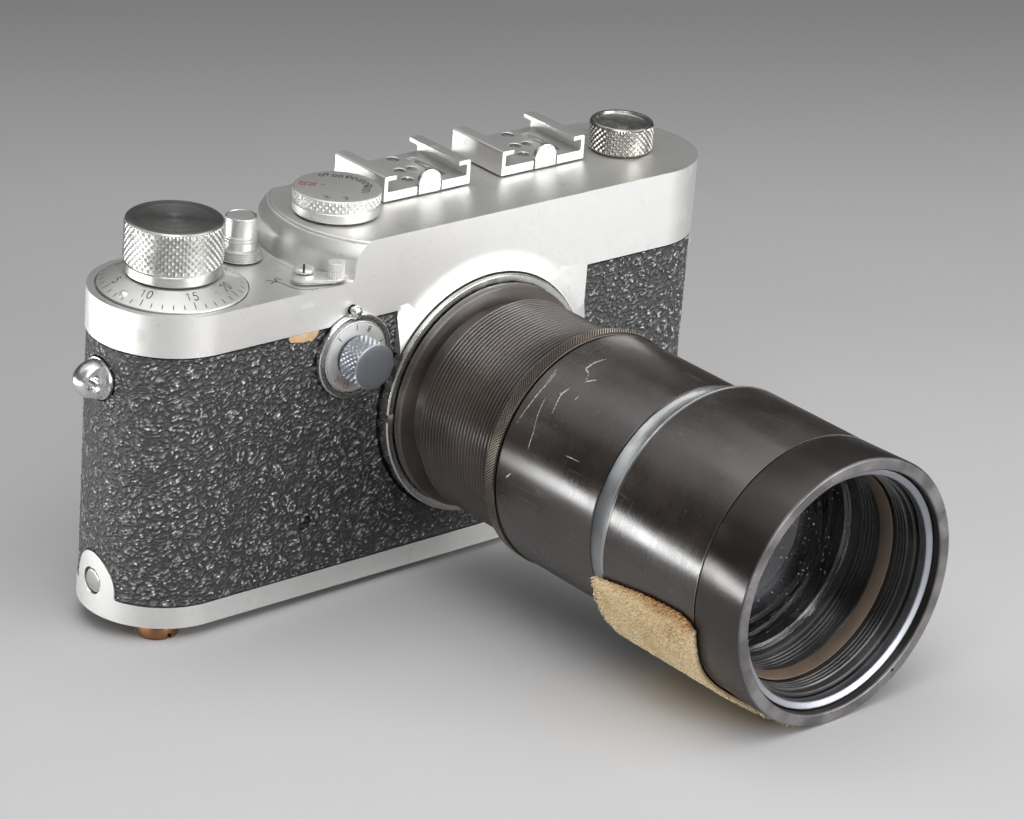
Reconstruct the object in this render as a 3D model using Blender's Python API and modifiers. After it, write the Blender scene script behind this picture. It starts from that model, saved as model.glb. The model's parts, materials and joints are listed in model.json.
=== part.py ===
"""A 35 mm camera body without a viewfinder, carrying a long tube lens.

The body frame has X along the body, Y towards its back and Z up, with its zero on the
body's middle plane at the underside of the base plate. One empty carries that frame, so
that the whole object stands on Z = 0 with its box centred over the world's origin.
Lens pieces are turned about the lens axis, with heights measured forwards from the
body's middle plane.
"""
from math import asin, atan2, cos, hypot, pi, radians, sin

import bmesh
import bpy
from mathutils import Vector

MM = 0.001
GAP = 0.3 * MM              # clearance between two separate pieces
FINE = 40                   # sides of large round pieces
MEDIUM = 24                 # sides of knobs and dials
SMALL = 12                  # sides of shafts, screws and holes
CREASE = radians(40.0)

# Body casing
BODY_LENGTH = 136.0 * MM
BODY_DEPTH = 30.2 * MM
CASE_WALL = 0.8 * MM        # top cover and base plate sheet
SHELL_WALL = 1.2 * MM
LEATHER = 0.7 * MM
LEATHER_INSET = 0.1 * MM    # leather lies this much below the metal
BASE_HEIGHT = 4.2 * MM
BASE_FLOOR = 1.2 * MM
COVER_BOTTOM = 53.3 * MM
LOW_DECK = 61.1 * MM
HIGH_DECK = 68.4 * MM
LOW_DECK_SHEET = 1.6 * MM
HIGH_DECK_SHEET = 1.2 * MM
SHELL_RISE = 2.0 * MM       # the casting reaches this far into the cover
DECK_ROUNDING = 0.5 * MM
STEP_OFFSET = 11.5 * MM     # centre of the curved step, right of the speed dial
STEP_TOP_R = 21.6 * MM
STEP_FOOT_R = 23.4 * MM
STEP_WALL = 1.2 * MM
UPPER_LEDGE = 0.2 * MM      # the upper hollow is this much smaller all round
END_ARC_STEPS = 15         # odd, so that no corner lies on the middle plane

# Front panel round the lens mount
PANEL_LEFT = -12.7 * MM
PANEL_RIGHT = 33.1 * MM
PANEL_BOTTOM = 26.0 * MM
BOSS_FOOT_R = 28.0 * MM
BOSS_TOP_R = 24.4 * MM
BOSS_HEIGHT = 1.5 * MM

# Lens mount and lens, heights forwards from the body's middle plane
LENS_X = 8.1 * MM
LENS_Z = 33.1 * MM
FLANGE_R = 23.7 * MM
FLANGE_FACE_R = 22.1 * MM
FLANGE_RISE = 2.5 * MM      # flange face ahead of the body
MOUNT_BORE_R = 19.6 * MM
MOUNT_SPIGOT_R = 21.2 * MM
NOTCH_WIDTH = 1.6 * MM
NOTCH_DEPTH = 1.0 * MM
ADAPTER_DISC = 1.5 * MM
ADAPTER_RIM = 0.1 * MM      # adapter disc wider than the flange's inner face
NECK_LENGTH = 4.3 * MM
NECK_INSET = 2.3 * MM       # neck smaller than the tube
TUBE_R = 21.0 * MM
TUBE_WALL = 4.0 * MM
TUBE_LENGTH = 40.3 * MM
RIBBED_LENGTH = 21.2 * MM   # tube in sight behind the focus ring
FOCUS_RING_WIDTH = 2.6 * MM
FOCUS_RING_RISE = 0.35 * MM # focus ring proud of the barrel
FOCUS_SEAT_STEP = 0.7 * MM
BARREL_REAR_WALL = 1.4 * MM
BARREL_REAR_LENGTH = 26.1 * MM
STEP_RING_LENGTH = 5.2 * MM
STEP_RING_RISE = 1.9 * MM   # front barrel wider than the rear one
BARREL_FRONT_LENGTH = 23.4 * MM
BARREL_FRONT_WALL = 1.7 * MM
FRONT_RING_LENGTH = 11.25 * MM
RIM_RISE = 0.35 * MM        # rim proud of the barrel
RIM_WALL = 2.45 * MM
LIP_DEPTH = 3.8 * MM
SPIGOT_LENGTH = 4.6 * MM
RETAINER_DEPTH = 1.7 * MM
RETAINER_WALL = 1.0 * MM    # retainer and its gap inside the lip
CELL_FIT = 0.2 * MM         # the cell slides in the barrel with this clearance
CELL_WALL = 0.8 * MM
CELL_LENGTH = 38.5 * MM
CELL_DEPTH = 4.15 * MM      # depths are measured back from the front rim
GLASS_INSET = 1.2 * MM      # each glass smaller than the bore in front of it
FRONT_GLASS_DEPTH = 18.55 * MM
REAR_GLASS_DEPTH = 37.15 * MM
FRONT_GLASS_EDGE = 3.4 * MM
FRONT_GLASS_RISE = 2.4 * MM
REAR_GLASS_EDGE = 3.2 * MM
REAR_GLASS_RISE = 1.6 * MM
SEAT_LEDGE = 0.9 * MM
SPACER_DEPTH = 9.05 * MM
SPACER_LENGTH = 2.4 * MM
PATCH_LENGTH = 27.0 * MM
PATCH_OVERHANG = 0.1 * MM   # the patch runs this far on to the front ring
PATCH_THICKNESS = 1.1 * MM
PATCH_FROM = radians(-165.0)
PATCH_TO = radians(-100.0)

# Winding side
KNOB_INSET = 15.3 * MM      # axis of each knob from its end of the body
WIND_SHAFT_R = 2.3 * MM
WIND_KNOB_R = 9.1 * MM
WIND_RING_R = 8.85 * MM
WIND_RING_HEIGHT = 2.0 * MM
WIND_RING_RISE = 2.85 * MM  # knob above the low deck
WIND_KNOB_HEIGHT = 10.1 * MM
WIND_BORE_ROOF = 4.0 * MM   # metal above the shaft
DIAL_R = 13.55 * MM
DIAL_FLAT_R = 9.3 * MM
DIAL_SHEET = 0.8 * MM       # dial thickness at its rim
RECESS_DEPTH = 0.8 * MM
BALL_R = 0.9 * MM
BALL_EDGE = 1.95 * MM       # ball centre from the dial's rim
BALL_ANGLE = radians(188.0)
SPOOL_CORE_R = 5.5 * MM
SPOOL_FLANGE_R = 8.0 * MM
SPOOL_BOTTOM = 5.4 * MM
SPOOL_TOP = 46.0 * MM
SPOOL_FLANGE = 1.5 * MM

# Release button over the sprocket
RELEASE_OFFSET = 18.2 * MM  # right of the wind knob
RELEASE_Y = 4.7 * MM
RELEASE_HEIGHT = 8.1 * MM   # sleeve above the low deck
RELEASE_ROD_R = 1.2 * MM
SLEEVE_R = 2.95 * MM
SLEEVE_BORE_R = 2.55 * MM
SLEEVE_SEAT = 2.9 * MM      # sleeve floor above the low deck
COLLAR_R = 4.3 * MM
COLLAR_HEIGHT = 1.85 * MM
BAND_R = 3.0 * MM
BAND_HEIGHT = 1.75 * MM
DOUBLE_RING_R = 3.15 * MM
DOUBLE_RING_HEIGHT = 1.15 * MM
BUTTON_HEIGHT = 1.5 * MM
ROD_BOTTOM = 13.4 * MM
SPRING_R = 1.1 * MM         # middle of the wire
SPRING_WIRE_R = 0.25 * MM
SPRING_TURNS = 4
SPROCKET_R = 5.3 * MM
SPROCKET_TOOTH_R = 6.5 * MM
SPROCKET_TEETH = 8
SPROCKET_ROW = 14.1 * MM    # half the spacing of the two rows of film holes
SPROCKET_WHEEL = 2.0 * MM
SPROCKET_SHAFT_R = 2.5 * MM

# Gears in the top housing
GEAR_HEIGHT = 1.5 * MM
TOOTH_DEPTH = 0.8 * MM
GEAR_TEETH = 22             # all three turn once for each frame

# Rewind-release lever
LEVER_OFFSET = 3.3 * MM     # right of the release
LEVER_Y = -10.3 * MM
LEVER_HUB_R = 2.4 * MM
LEVER_SHEET = 0.7 * MM
LEVER_SCREW_R = 1.9 * MM
LEVER_SCREW_HEAD = 0.9 * MM
LEVER_BOSS = 0.8 * MM
POST_OFFSET = 4.8 * MM      # right of the lever's screw
POST_Y = -13.1 * MM
POST_R = 1.6 * MM
POST_HEIGHT = 2.9 * MM
LEVER_TIP_R = 1.8 * MM

# Speed dial
SPEED_OFFSET = 18.0 * MM    # right of the release
SPEED_DIAL_R = 8.3 * MM
SPEED_RING_R = 8.1 * MM
SPEED_RING_RISE = 2.25 * MM # knurl above the high deck
SPEED_HEIGHT = 4.8 * MM     # dial top above the high deck
SPINDLE_R = 1.6 * MM
SLEEVE_WALL = 1.0 * MM

# Slow-speed dial on the front
SLOW_OFFSET = 6.4 * MM      # left of the speed dial
SLOW_Z = 46.9 * MM
SLOW_PLATE_R = 8.2 * MM
SLOW_DISC_R = 6.9 * MM
SLOW_PLATE_RISE = 1.2 * MM  # plate ahead of the body
SLOW_PLATE_FLOOR = 0.3 * MM
SLOW_DISC = 0.5 * MM
SLOW_KNOB_R = 4.55 * MM
SLOW_KNOB_RISE = 6.9 * MM   # knob face ahead of the body
SLOW_SHAFT_R = 1.5 * MM
LOCK_BUTTON_OFFSET = 0.5 * MM   # left of the dial's centre
LOCK_BUTTON_RISE = 8.9 * MM # button above the dial's centre
LOCK_BUTTON_R = 1.15 * MM
LOCK_STEM_R = 0.7 * MM
LOCK_TRAVEL = 0.8 * MM
LOCK_HEAD = 1.2 * MM

# Rewind side
REWIND_KNOB_R = 6.4 * MM
REWIND_HEIGHT = 5.9 * MM    # knob above the high deck
REWIND_SHAFT_R = 2.3 * MM
REWIND_TUBE_WALL = 0.7 * MM
REWIND_TUBE = 8.7 * MM
FORK_BOTTOM = 40.0 * MM
FORK_HEIGHT = 6.0 * MM
FORK_THICKNESS = 1.2 * MM

# Accessory shoes
SHOE_LEFT = (-6.6 * MM, 21.6 * MM)      # left side of each shoe
SHOE_WIDTH = 20.5 * MM
SHOE_SLOT = 18.7 * MM       # standard inner width for an accessory foot
SHOE_FRONT = -1.5 * MM
SHOE_LENGTH = 15.1 * MM
SHOE_FLOOR = 1.8 * MM
SHOE_HEIGHT = 4.9 * MM
SHOE_LIP = 2.85 * MM
SHOE_LIP_SHEET = 0.9 * MM
TONGUE_WIDTH = 5.2 * MM
TONGUE_OFFSET = 0.6 * MM    # tongue centre right of the shoe's centre
TONGUE_SHEET = 0.8 * MM
TONGUE_HEIGHT = 4.6 * MM
SPRING_SLOT_X = 15.3 * MM   # spring slot from the shoe's left side
SPRING_SLOT_WIDTH = 1.6 * MM
SPRING_SLOT_LENGTH = 10.0 * MM
SPRING_SLOT_DEPTH = 0.9 * MM

# Strap lugs
LUG_Z = 46.3 * MM
LUG_BASE_R = 3.9 * MM
LUG_BASE = 0.9 * MM
LUG_R = 3.7 * MM
LUG_REACH = 4.9 * MM
LUG_THICKNESS = 4.0 * MM
LUG_HOLE_R = 1.2 * MM
LUG_HOLE_REACH = 1.96 * MM  # hole's centre from the foot
LUG_SHANK_R = 1.4 * MM

# Base plate fittings
EAR_TOP = 12.0 * MM
EAR_HALF_WIDTH = 5.6 * MM
EAR_PIN_Z = 6.2 * MM
EAR_PIN_R = 2.3 * MM
TRIPOD_BORE_R = 3.175 * MM  # quarter inch thread
TRIPOD_BUSH_R = 5.9 * MM
TRIPOD_FLANGE_R = 7.4 * MM
TRIPOD_HEIGHT = 4.9 * MM
STUD_Y = -8.9 * MM
STUD_R = 3.8 * MM
STUD_OFFSET = 6.6 * MM      # stud outwards of the tripod bush
STUD_DROP = 2.8 * MM
STUD_SHANK_R = 1.8 * MM
STUD_SLOT = 0.8 * MM
KEY_R = 8.0 * MM
KEY_DROP = 1.6 * MM
KEY_RECESS_R = 6.8 * MM
KEY_SHEET = 1.2 * MM
KEY_HUB_R = 4.5 * MM
KEY_HUB_TOP = 3.5 * MM
BAIL_R = 5.4 * MM
BAIL_WIRE_R = 0.45 * MM
BODY_SCREW_X = -31.3 * MM
BODY_SCREW_Z = 14.8 * MM
BODY_SCREW_R = 1.2 * MM
SCREW_SHANK_R = 0.6 * MM

# Chassis and shutter
CHASSIS_SHEET = 2.0 * MM
CRATE_CLEAR = 2.5 * MM      # crate's edge to the slow train
CRATE_RIGHT = 29.0 * MM
CRATE_SHEET = 1.6 * MM
SHELF_OVERHANG = 3.5 * MM   # shelf beyond the release axis
SHELF_RIGHT = 38.5 * MM
SHELF_TOP = 8.4 * MM
SHELF_SHEET = 1.4 * MM
TUNNEL_HALF_X = 18.7 * MM
TUNNEL_HALF_Z = 13.2 * MM
TUNNEL_WALL = 0.6 * MM
TUNNEL_CLEAR = 0.8 * MM     # tunnel's end to the curtain
FRAME_HALF_X = 18.0 * MM    # half of the 36 mm picture width
FRAME_HALF_Z = 12.0 * MM    # half of the 24 mm picture height
GATE_HALF_X = 23.0 * MM
GATE_SHEET = 1.2 * MM
FILM_CHANNEL = 0.6 * MM
PLATE_SHEET = 0.8 * MM
PLATE_ROOM = 2.7 * MM       # pressure plate's face to the casting
PLATE_HALF_X = 22.0 * MM
PLATE_HALF_Z = 15.0 * MM
LEAF_HALF_X = 14.0 * MM
LEAF_HALF_Z = 3.0 * MM
LEAF_SHEET = 0.3 * MM
LEAF_BOW = 0.85 * MM
CURTAIN_SHEET = 0.3 * MM
CURTAIN_HALF_Z = 16.6 * MM
DRUM_R = 5.6 * MM
DRUM_BOTTOM = 14.0 * MM
DRUM_TOP = 51.0 * MM
ROLLER_R = 2.8 * MM
ROLLER_X = (30.5 * MM, 36.6 * MM)
ROLLER_AXLE_R = 1.0 * MM
ESCAPEMENT_HALF_X = 7.4 * MM
ESCAPEMENT_BOTTOM = 38.0 * MM
ESCAPEMENT_DEPTH = 5.0 * MM

# Worked out from the sizes above
BODY_R = BODY_DEPTH / 2
END_X = BODY_LENGTH / 2 - BODY_R            # centre of each round end
REWIND_X = BODY_LENGTH / 2 - KNOB_INSET
KEY_X = REWIND_X
WIND_X = -REWIND_X
STUD_X = WIND_X - STUD_OFFSET
RELEASE_X = WIND_X + RELEASE_OFFSET
LEVER_X = RELEASE_X + LEVER_OFFSET
POST_X = LEVER_X + POST_OFFSET
SPEED_X = RELEASE_X + SPEED_OFFSET
STEP_X = SPEED_X + STEP_OFFSET
SLOW_X = SPEED_X - SLOW_OFFSET
LOCK_BUTTON_X = SLOW_X - LOCK_BUTTON_OFFSET
CRATE_LEFT = SLOW_X + ESCAPEMENT_HALF_X + CRATE_CLEAR
SHELF_LEFT = RELEASE_X - SHELF_OVERHANG
COVER_INNER_R = BODY_R - CASE_WALL
PANEL_BACK = COVER_INNER_R + GAP / 3
SHELL_R = COVER_INNER_R - GAP
SHELL_INNER_R = SHELL_R - SHELL_WALL
SHELL_TOP = COVER_BOTTOM + SHELL_RISE
LEATHER_R = BODY_R - LEATHER_INSET
SHELL_BOTTOM = BASE_FLOOR + GAP
CHASSIS_R = SHELL_INNER_R - GAP
CHASSIS_BOTTOM = COVER_BOTTOM - GAP
CHASSIS_TOP = CHASSIS_BOTTOM + CHASSIS_SHEET
GEAR_BOTTOM = CHASSIS_TOP + 2 * GAP
CRATE_FRONT = SHELL_INNER_R - GAP
ESCAPEMENT_FRONT = CRATE_FRONT - GAP
PLATE_FRONT = SHELL_INNER_R - PLATE_ROOM
GATE_FRONT = PLATE_FRONT - FILM_CHANNEL - GATE_SHEET
SHELF_BACK = GATE_FRONT - GAP
CLEAR_R = FLANGE_R + GAP                    # opening round the mount flange
BORE = WIND_SHAFT_R + GAP
DIAL_SEAT = LOW_DECK - RECESS_DEPTH
WIND_KNOB_BOTTOM = LOW_DECK + WIND_RING_RISE
WIND_KNOB_TOP = WIND_KNOB_BOTTOM + WIND_KNOB_HEIGHT
DIAL_TOP = WIND_KNOB_BOTTOM - GAP
BALL_REACH = DIAL_R - BALL_EDGE
RELEASE_TOP = LOW_DECK + RELEASE_HEIGHT
SLEEVE_FLOOR = LOW_DECK + SLEEVE_SEAT
SPEED_KNURL_BOTTOM = HIGH_DECK + SPEED_RING_RISE
SPEED_TOP = HIGH_DECK + SPEED_HEIGHT
REWIND_TOP = HIGH_DECK + REWIND_HEIGHT
SHOE_BASE = HIGH_DECK + GAP
SHAFT_FOOT = SHELF_TOP + GAP
FRAME_TOP = CHASSIS_BOTTOM - GAP
PLATE_BACK = BODY_R + GAP                   # back of what lies on the front face
SLOW_PLATE_FRONT = BODY_R + SLOW_PLATE_RISE
SLOW_KNOB_FRONT = BODY_R + SLOW_KNOB_RISE
LOCK_BUTTON_Z = SLOW_Z + LOCK_BUTTON_RISE
FLANGE_FRONT = BODY_R + FLANGE_RISE
ADAPTER_DISC_R = FLANGE_FACE_R + ADAPTER_RIM
NECK_R = TUBE_R - NECK_INSET
TUBE_BORE_R = TUBE_R - TUBE_WALL
TUBE_START = FLANGE_FRONT + GAP + ADAPTER_DISC + NECK_LENGTH
TUBE_END = TUBE_START + TUBE_LENGTH
BARREL_BORE_R = TUBE_R + GAP
BARREL_REAR_R = BARREL_BORE_R + BARREL_REAR_WALL
FOCUS_RING_R = BARREL_REAR_R + FOCUS_RING_RISE
FOCUS_SEAT_R = BARREL_REAR_R - FOCUS_SEAT_STEP
BARREL_FRONT_R = BARREL_REAR_R + STEP_RING_RISE
RIM_R = BARREL_FRONT_R + RIM_RISE
LIP_R = RIM_R - RIM_WALL
RETAINER_BORE_R = LIP_R - RETAINER_WALL
CELL_R = BARREL_BORE_R - CELL_FIT
CELL_BORE_R = CELL_R - CELL_WALL
FRONT_GLASS_R = CELL_BORE_R - GLASS_INSET
REAR_GLASS_R = FRONT_GLASS_R - GLASS_INSET
FOCUS_RING_START = TUBE_START + RIBBED_LENGTH
BARREL_REAR_END = FOCUS_RING_START + FOCUS_RING_WIDTH + GAP + BARREL_REAR_LENGTH
STEP_RING_END = BARREL_REAR_END + GAP + STEP_RING_LENGTH
FRONT_RING_START = STEP_RING_END + GAP + BARREL_FRONT_LENGTH + GAP
LENS_FRONT = FRONT_RING_START + FRONT_RING_LENGTH
CELL_END = LENS_FRONT - CELL_DEPTH
CELL_START = CELL_END - CELL_LENGTH
FRONT_GLASS_FACE = LENS_FRONT - FRONT_GLASS_DEPTH
REAR_GLASS_FACE = LENS_FRONT - REAR_GLASS_DEPTH
SPACER_FRONT = LENS_FRONT - SPACER_DEPTH
PATCH_END = FRONT_RING_START + PATCH_OVERHANG
PATCH_START = PATCH_END - PATCH_LENGTH
STEP_BORE_R = CELL_R + GAP
SPIGOT_R = BARREL_FRONT_R - BARREL_FRONT_WALL - GAP
WIND_GEAR_R = (hypot(RELEASE_X - WIND_X, RELEASE_Y) - GAP) / 2
DRUM_GEAR_R = hypot(SPEED_X - RELEASE_X, RELEASE_Y) - GAP - WIND_GEAR_R
CURTAIN_FRONT = DRUM_R + GAP + CURTAIN_SHEET / 3
TUNNEL_BACK = CURTAIN_FRONT - TUNNEL_CLEAR

DOWN = (0.0, 0.0, 0.0)
FORWARD = (pi / 2, 0.0, 0.0)                # local Z points out of the front
SIDEWAYS = (0.0, pi / 2, 0.0)               # local Z points along +X

CHROME = ((0.72, 0.72, 0.70), 0.32, 1.0)
BRIGHT = ((0.80, 0.80, 0.79), 0.18, 1.0)
DARK_CHROME = ((0.20, 0.20, 0.20), 0.20, 1.0)
STEEL = ((0.45, 0.45, 0.45), 0.40, 1.0)
BRASS = ((0.62, 0.38, 0.16), 0.35, 1.0)
SKIN = ((0.012, 0.012, 0.012), 0.40, 0.0)
BLACK = ((0.020, 0.018, 0.017), 0.40, 0.0)
DARK_BARREL = ((0.050, 0.040, 0.034), 0.30, 0.6)
BARE_METAL = ((0.30, 0.32, 0.34), 0.35, 1.0)
BROWN = ((0.09, 0.07, 0.045), 0.50, 0.0)
CLOTH = ((0.010, 0.010, 0.010), 0.90, 0.0)
LOOPS = ((0.55, 0.40, 0.22), 0.95, 0.0)
GLASS = ((0.06, 0.07, 0.08), 0.05, 0.0)


def clear_scene():
    """Remove every object that the file opened with."""
    for obj in list(bpy.data.objects):
        bpy.data.objects.remove(obj, do_unlink=True)


def new_collection(name):
    """Make a collection in the scene."""
    group = bpy.data.collections.new(name)
    bpy.context.scene.collection.children.link(group)
    return group


def new_frame():
    """Make the empty that carries the body frame."""
    empty = bpy.data.objects.new("body_frame", None)
    empty.location = (0.0, (LENS_FRONT - BODY_R) / 2, STUD_DROP)
    PARTS.objects.link(empty)
    return empty


def add_object(name, data, place, turn):
    """Put a mesh or a curve in the body frame."""
    obj = bpy.data.objects.new(name, data)
    PARTS.objects.link(obj)
    obj.parent = FRAME
    obj.location = place
    obj.rotation_euler = turn
    return obj


def paint(obj, finish):
    """Give a piece its own material: colour, roughness and metallic value."""
    colour, roughness, metallic = finish
    material = bpy.data.materials.new(obj.name)
    material.use_nodes = True
    shader = material.node_tree.nodes["Principled BSDF"]
    shader.inputs["Base Color"].default_value = (*colour, 1.0)
    shader.inputs["Roughness"].default_value = roughness
    shader.inputs["Metallic"].default_value = metallic
    obj.data.materials.clear()
    obj.data.materials.append(material)
    return obj


def as_tool(obj):
    """Keep a shape only as the other side of a Boolean."""
    PARTS.objects.unlink(obj)
    TOOLS.objects.link(obj)
    obj.hide_render = True
    obj.display_type = "WIRE"
    return obj


def combine(obj, tool, operation):
    """Join, cut or intersect a piece with a tool shape."""
    boolean = obj.modifiers.new(tool.name, "BOOLEAN")
    boolean.operation = operation
    boolean.solver = "EXACT"
    boolean.object = tool
    as_tool(tool)


def cut(obj, *tools):
    """Take tool shapes away from a piece."""
    for tool in tools:
        combine(obj, tool, "DIFFERENCE")


def join(obj, *tools):
    """Add tool shapes to a piece."""
    for tool in tools:
        combine(obj, tool, "UNION")


def box(name, low, high):
    """A block between two corners."""
    mesh = bpy.data.meshes.new(name)
    shape = bmesh.new()
    bmesh.ops.create_cube(shape, size=1.0)
    size = [b - a for a, b in zip(low, high)]
    bmesh.ops.scale(shape, vec=size, verts=shape.verts)
    shape.to_mesh(mesh)
    shape.free()
    centre = [(a + b) / 2 for a, b in zip(low, high)]
    return add_object(name, mesh, centre, DOWN)


def smooth(mesh):
    """Shade a mesh smooth, with creases left at its corners."""
    mesh.shade_smooth()
    mesh.set_sharp_from_angle(angle=CREASE)


def rod(name, radius, low, high, place, turn=DOWN, sides=SMALL):
    """A cylinder from one height to another along its own axis."""
    mesh = bpy.data.meshes.new(name)
    shape = bmesh.new()
    bmesh.ops.create_cone(shape, cap_ends=True, segments=sides, radius1=radius,
                          radius2=radius, depth=high - low)
    bmesh.ops.translate(shape, vec=(0.0, 0.0, (low + high) / 2), verts=shape.verts)
    shape.to_mesh(mesh)
    shape.free()
    smooth(mesh)
    return add_object(name, mesh, place, turn)


def turned(name, profile, place, turn=DOWN, sides=MEDIUM):
    """Turn a profile of (radius, height) points, given down its outer side.

    A profile that starts on the axis is a solid; any other is a closed ring.
    """
    mesh = bpy.data.meshes.new(name)
    points = [(radius, 0.0, height) for radius, height in profile]
    edges = [(i, i + 1) for i in range(len(points) - 1)]
    if profile[0][0] > 0.0:
        edges.append((len(points) - 1, 0))
    mesh.from_pydata(points, edges, [])
    obj = add_object(name, mesh, place, turn)
    screw = obj.modifiers.new("turn", "SCREW")
    screw.steps = sides
    screw.render_steps = sides
    screw.use_merge_vertices = True
    screw.merge_threshold = 0.000001
    screw.use_smooth_shade = True
    return obj


def slab(name, loops, low, high, place=DOWN, turn=DOWN):
    """A flat plate with the given outlines, from one height to another."""
    curve = bpy.data.curves.new(name, "CURVE")
    curve.dimensions = "2D"
    curve.fill_mode = "BOTH"
    curve.extrude = (high - low) / 2
    for loop in loops:
        spline = curve.splines.new("POLY")
        spline.points.add(len(loop) - 1)
        for point, (x, y) in zip(spline.points, loop):
            point.co = (x, y, 0.0, 1.0)
        spline.use_cyclic_u = True
    return as_mesh(name, curve, (0.0, 0.0, (low + high) / 2), place, turn)


def as_mesh(name, curve, shift, place, turn):
    """Turn a filled curve into a welded mesh object."""
    holder = bpy.data.objects.new(name + "_curve", curve)
    PARTS.objects.link(holder)
    graph = bpy.context.evaluated_depsgraph_get()
    mesh = bpy.data.meshes.new_from_object(holder.evaluated_get(graph))
    bpy.data.objects.remove(holder, do_unlink=True)
    bpy.data.curves.remove(curve)
    shape = bmesh.new()
    shape.from_mesh(mesh)
    bmesh.ops.remove_doubles(shape, verts=shape.verts, dist=0.000001)
    bmesh.ops.recalc_face_normals(shape, faces=shape.faces)
    bmesh.ops.translate(shape, vec=shift, verts=shape.verts)
    shape.to_mesh(mesh)
    shape.free()
    smooth(mesh)
    mesh.name = name
    return add_object(name, mesh, place, turn)


def arc(x, y, radius, start, end, steps):
    """Points along an arc, both ends included."""
    turns = [start + (end - start) * i / steps for i in range(steps + 1)]
    return [(x + radius * cos(a), y + radius * sin(a)) for a in turns]


def circle(radius, x=0.0, y=0.0, sides=SMALL):
    """A closed round outline."""
    return arc(x, y, radius, 0.0, 2 * pi, sides)[:-1]


def rectangle(left, low, right, high):
    """A closed square-cornered outline."""
    return [(left, low), (right, low), (right, high), (left, high)]


def stadium(radius):
    """The body's plan outline, at this radius round its two end centres."""
    right = arc(END_X, 0.0, radius, -pi / 2, pi / 2, END_ARC_STEPS)
    left = arc(-END_X, 0.0, radius, pi / 2, 3 * pi / 2, END_ARC_STEPS)
    return right + left


def toothed(root, tip, teeth):
    """A gear outline with four points to each tooth."""
    points = []
    for i in range(teeth):
        for share, radius in ((0.0, root), (0.2, tip), (0.5, tip), (0.7, root)):
            angle = 2 * pi * (i + share) / teeth
            points.append((radius * cos(angle), radius * sin(angle)))
    return points


def ring(outer, inner, front, back):
    """The closed profile of a plain ring."""
    return [(outer, front), (outer, back), (inner, back), (inner, front)]


def lens_ring(name, profile, finish, sides=FINE):
    """A piece turned about the lens axis."""
    place = (LENS_X, 0.0, LENS_Z)
    return paint(turned(name, profile, place, FORWARD, sides), finish)


def front_hole(name, radius, x, z, sides=SMALL):
    """A cutter through the front of the casing."""
    return rod(name, radius, SHELL_INNER_R - GAP, BODY_R + 4 * BOSS_HEIGHT, (x, 0.0, z),
               FORWARD, sides)


def ear_shape(name, margin):
    """The rounded outline of the base plate's ear, as a bar along X."""
    points = [(-z, y) for y, z in
              [((EAR_HALF_WIDTH + margin) * cos(a), (EAR_TOP - BASE_HEIGHT + margin) * sin(a))
               for a in [2 * pi * (i + 0.5) / MEDIUM for i in range(MEDIUM)]]]
    return slab(name, [points], -BODY_LENGTH, -END_X, (0.0, 0.0, BASE_HEIGHT), SIDEWAYS)


def make_shell():
    """The cast tube of the body."""
    shell = slab("body_shell", [stadium(SHELL_R), stadium(SHELL_INNER_R)],
                 SHELL_BOTTOM, SHELL_TOP)
    cut(shell,
        front_hole("shell_mount_hole", MOUNT_SPIGOT_R + GAP, LENS_X, LENS_Z, FINE),
        front_hole("shell_slow_hole", SLOW_SHAFT_R + 2 * GAP, SLOW_X, SLOW_Z),
        front_hole("shell_lock_hole", LOCK_STEM_R + GAP, LOCK_BUTTON_X, LOCK_BUTTON_Z),
        front_hole("shell_screw_hole", SCREW_SHANK_R + GAP, BODY_SCREW_X, BODY_SCREW_Z),
        rod("shell_lug_holes", LUG_SHANK_R + GAP, -BODY_LENGTH, BODY_LENGTH,
            (0.0, 0.0, LUG_Z), SIDEWAYS))
    paint(shell, BLACK)


def make_leather():
    """The skin round the middle of the body, open round the mount and its panel."""
    low = BASE_HEIGHT + GAP
    high = COVER_BOTTOM - GAP
    skin = slab("leather_cover", [stadium(LEATHER_R), stadium(LEATHER_R - LEATHER)], low, high)
    cut(skin,
        front_hole("leather_mount_hole", CLEAR_R, LENS_X, LENS_Z, FINE),
        box("leather_panel_gap", (PANEL_LEFT - GAP, -2 * BODY_R, PANEL_BOTTOM - GAP),
            (PANEL_RIGHT + GAP, -SHELL_INNER_R, COVER_BOTTOM)),
        front_hole("leather_slow_hole", SLOW_SHAFT_R + 2 * GAP, SLOW_X, SLOW_Z),
        front_hole("leather_screw_hole", BODY_SCREW_R + GAP, BODY_SCREW_X, BODY_SCREW_Z),
        rod("leather_lug_holes", LUG_BASE_R + GAP, -BODY_LENGTH, BODY_LENGTH,
            (0.0, 0.0, LUG_Z), SIDEWAYS, MEDIUM),
        ear_shape("leather_ear_gap", GAP))
    paint(skin, SKIN)


def deck_inside(radius):
    """The hollow under the high deck, bounded by the curved step."""
    step_r = STEP_TOP_R - STEP_WALL
    spread = asin(radius / step_r)
    left = arc(STEP_X, 0.0, step_r, pi - spread, pi + spread, END_ARC_STEPS - 2)
    right = arc(END_X, 0.0, radius, -pi / 2, pi / 2, END_ARC_STEPS - 2)
    return left + right


def step_cutter():
    """What the step takes off the left end of the cover: a ring with a hollow flank."""
    rise = HIGH_DECK - LOW_DECK
    run = STEP_FOOT_R - STEP_TOP_R
    flank = [(STEP_FOOT_R - run * sin(a), LOW_DECK + rise * (1 - cos(a)))
             for a in [pi / 2 * i / 6 for i in range(7)]]
    far = BODY_LENGTH
    over = HIGH_DECK + BODY_R
    profile = [(far, over), (far, LOW_DECK), *flank, (STEP_TOP_R, over)]
    cutter = turned("step_cutter", profile, (STEP_X, 0.0, 0.0), DOWN, FINE)
    half = box("step_side", (-2 * far, -far, 0.0), (STEP_X, far, 2 * over))
    combine(cutter, half, "INTERSECT")
    return cutter


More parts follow.
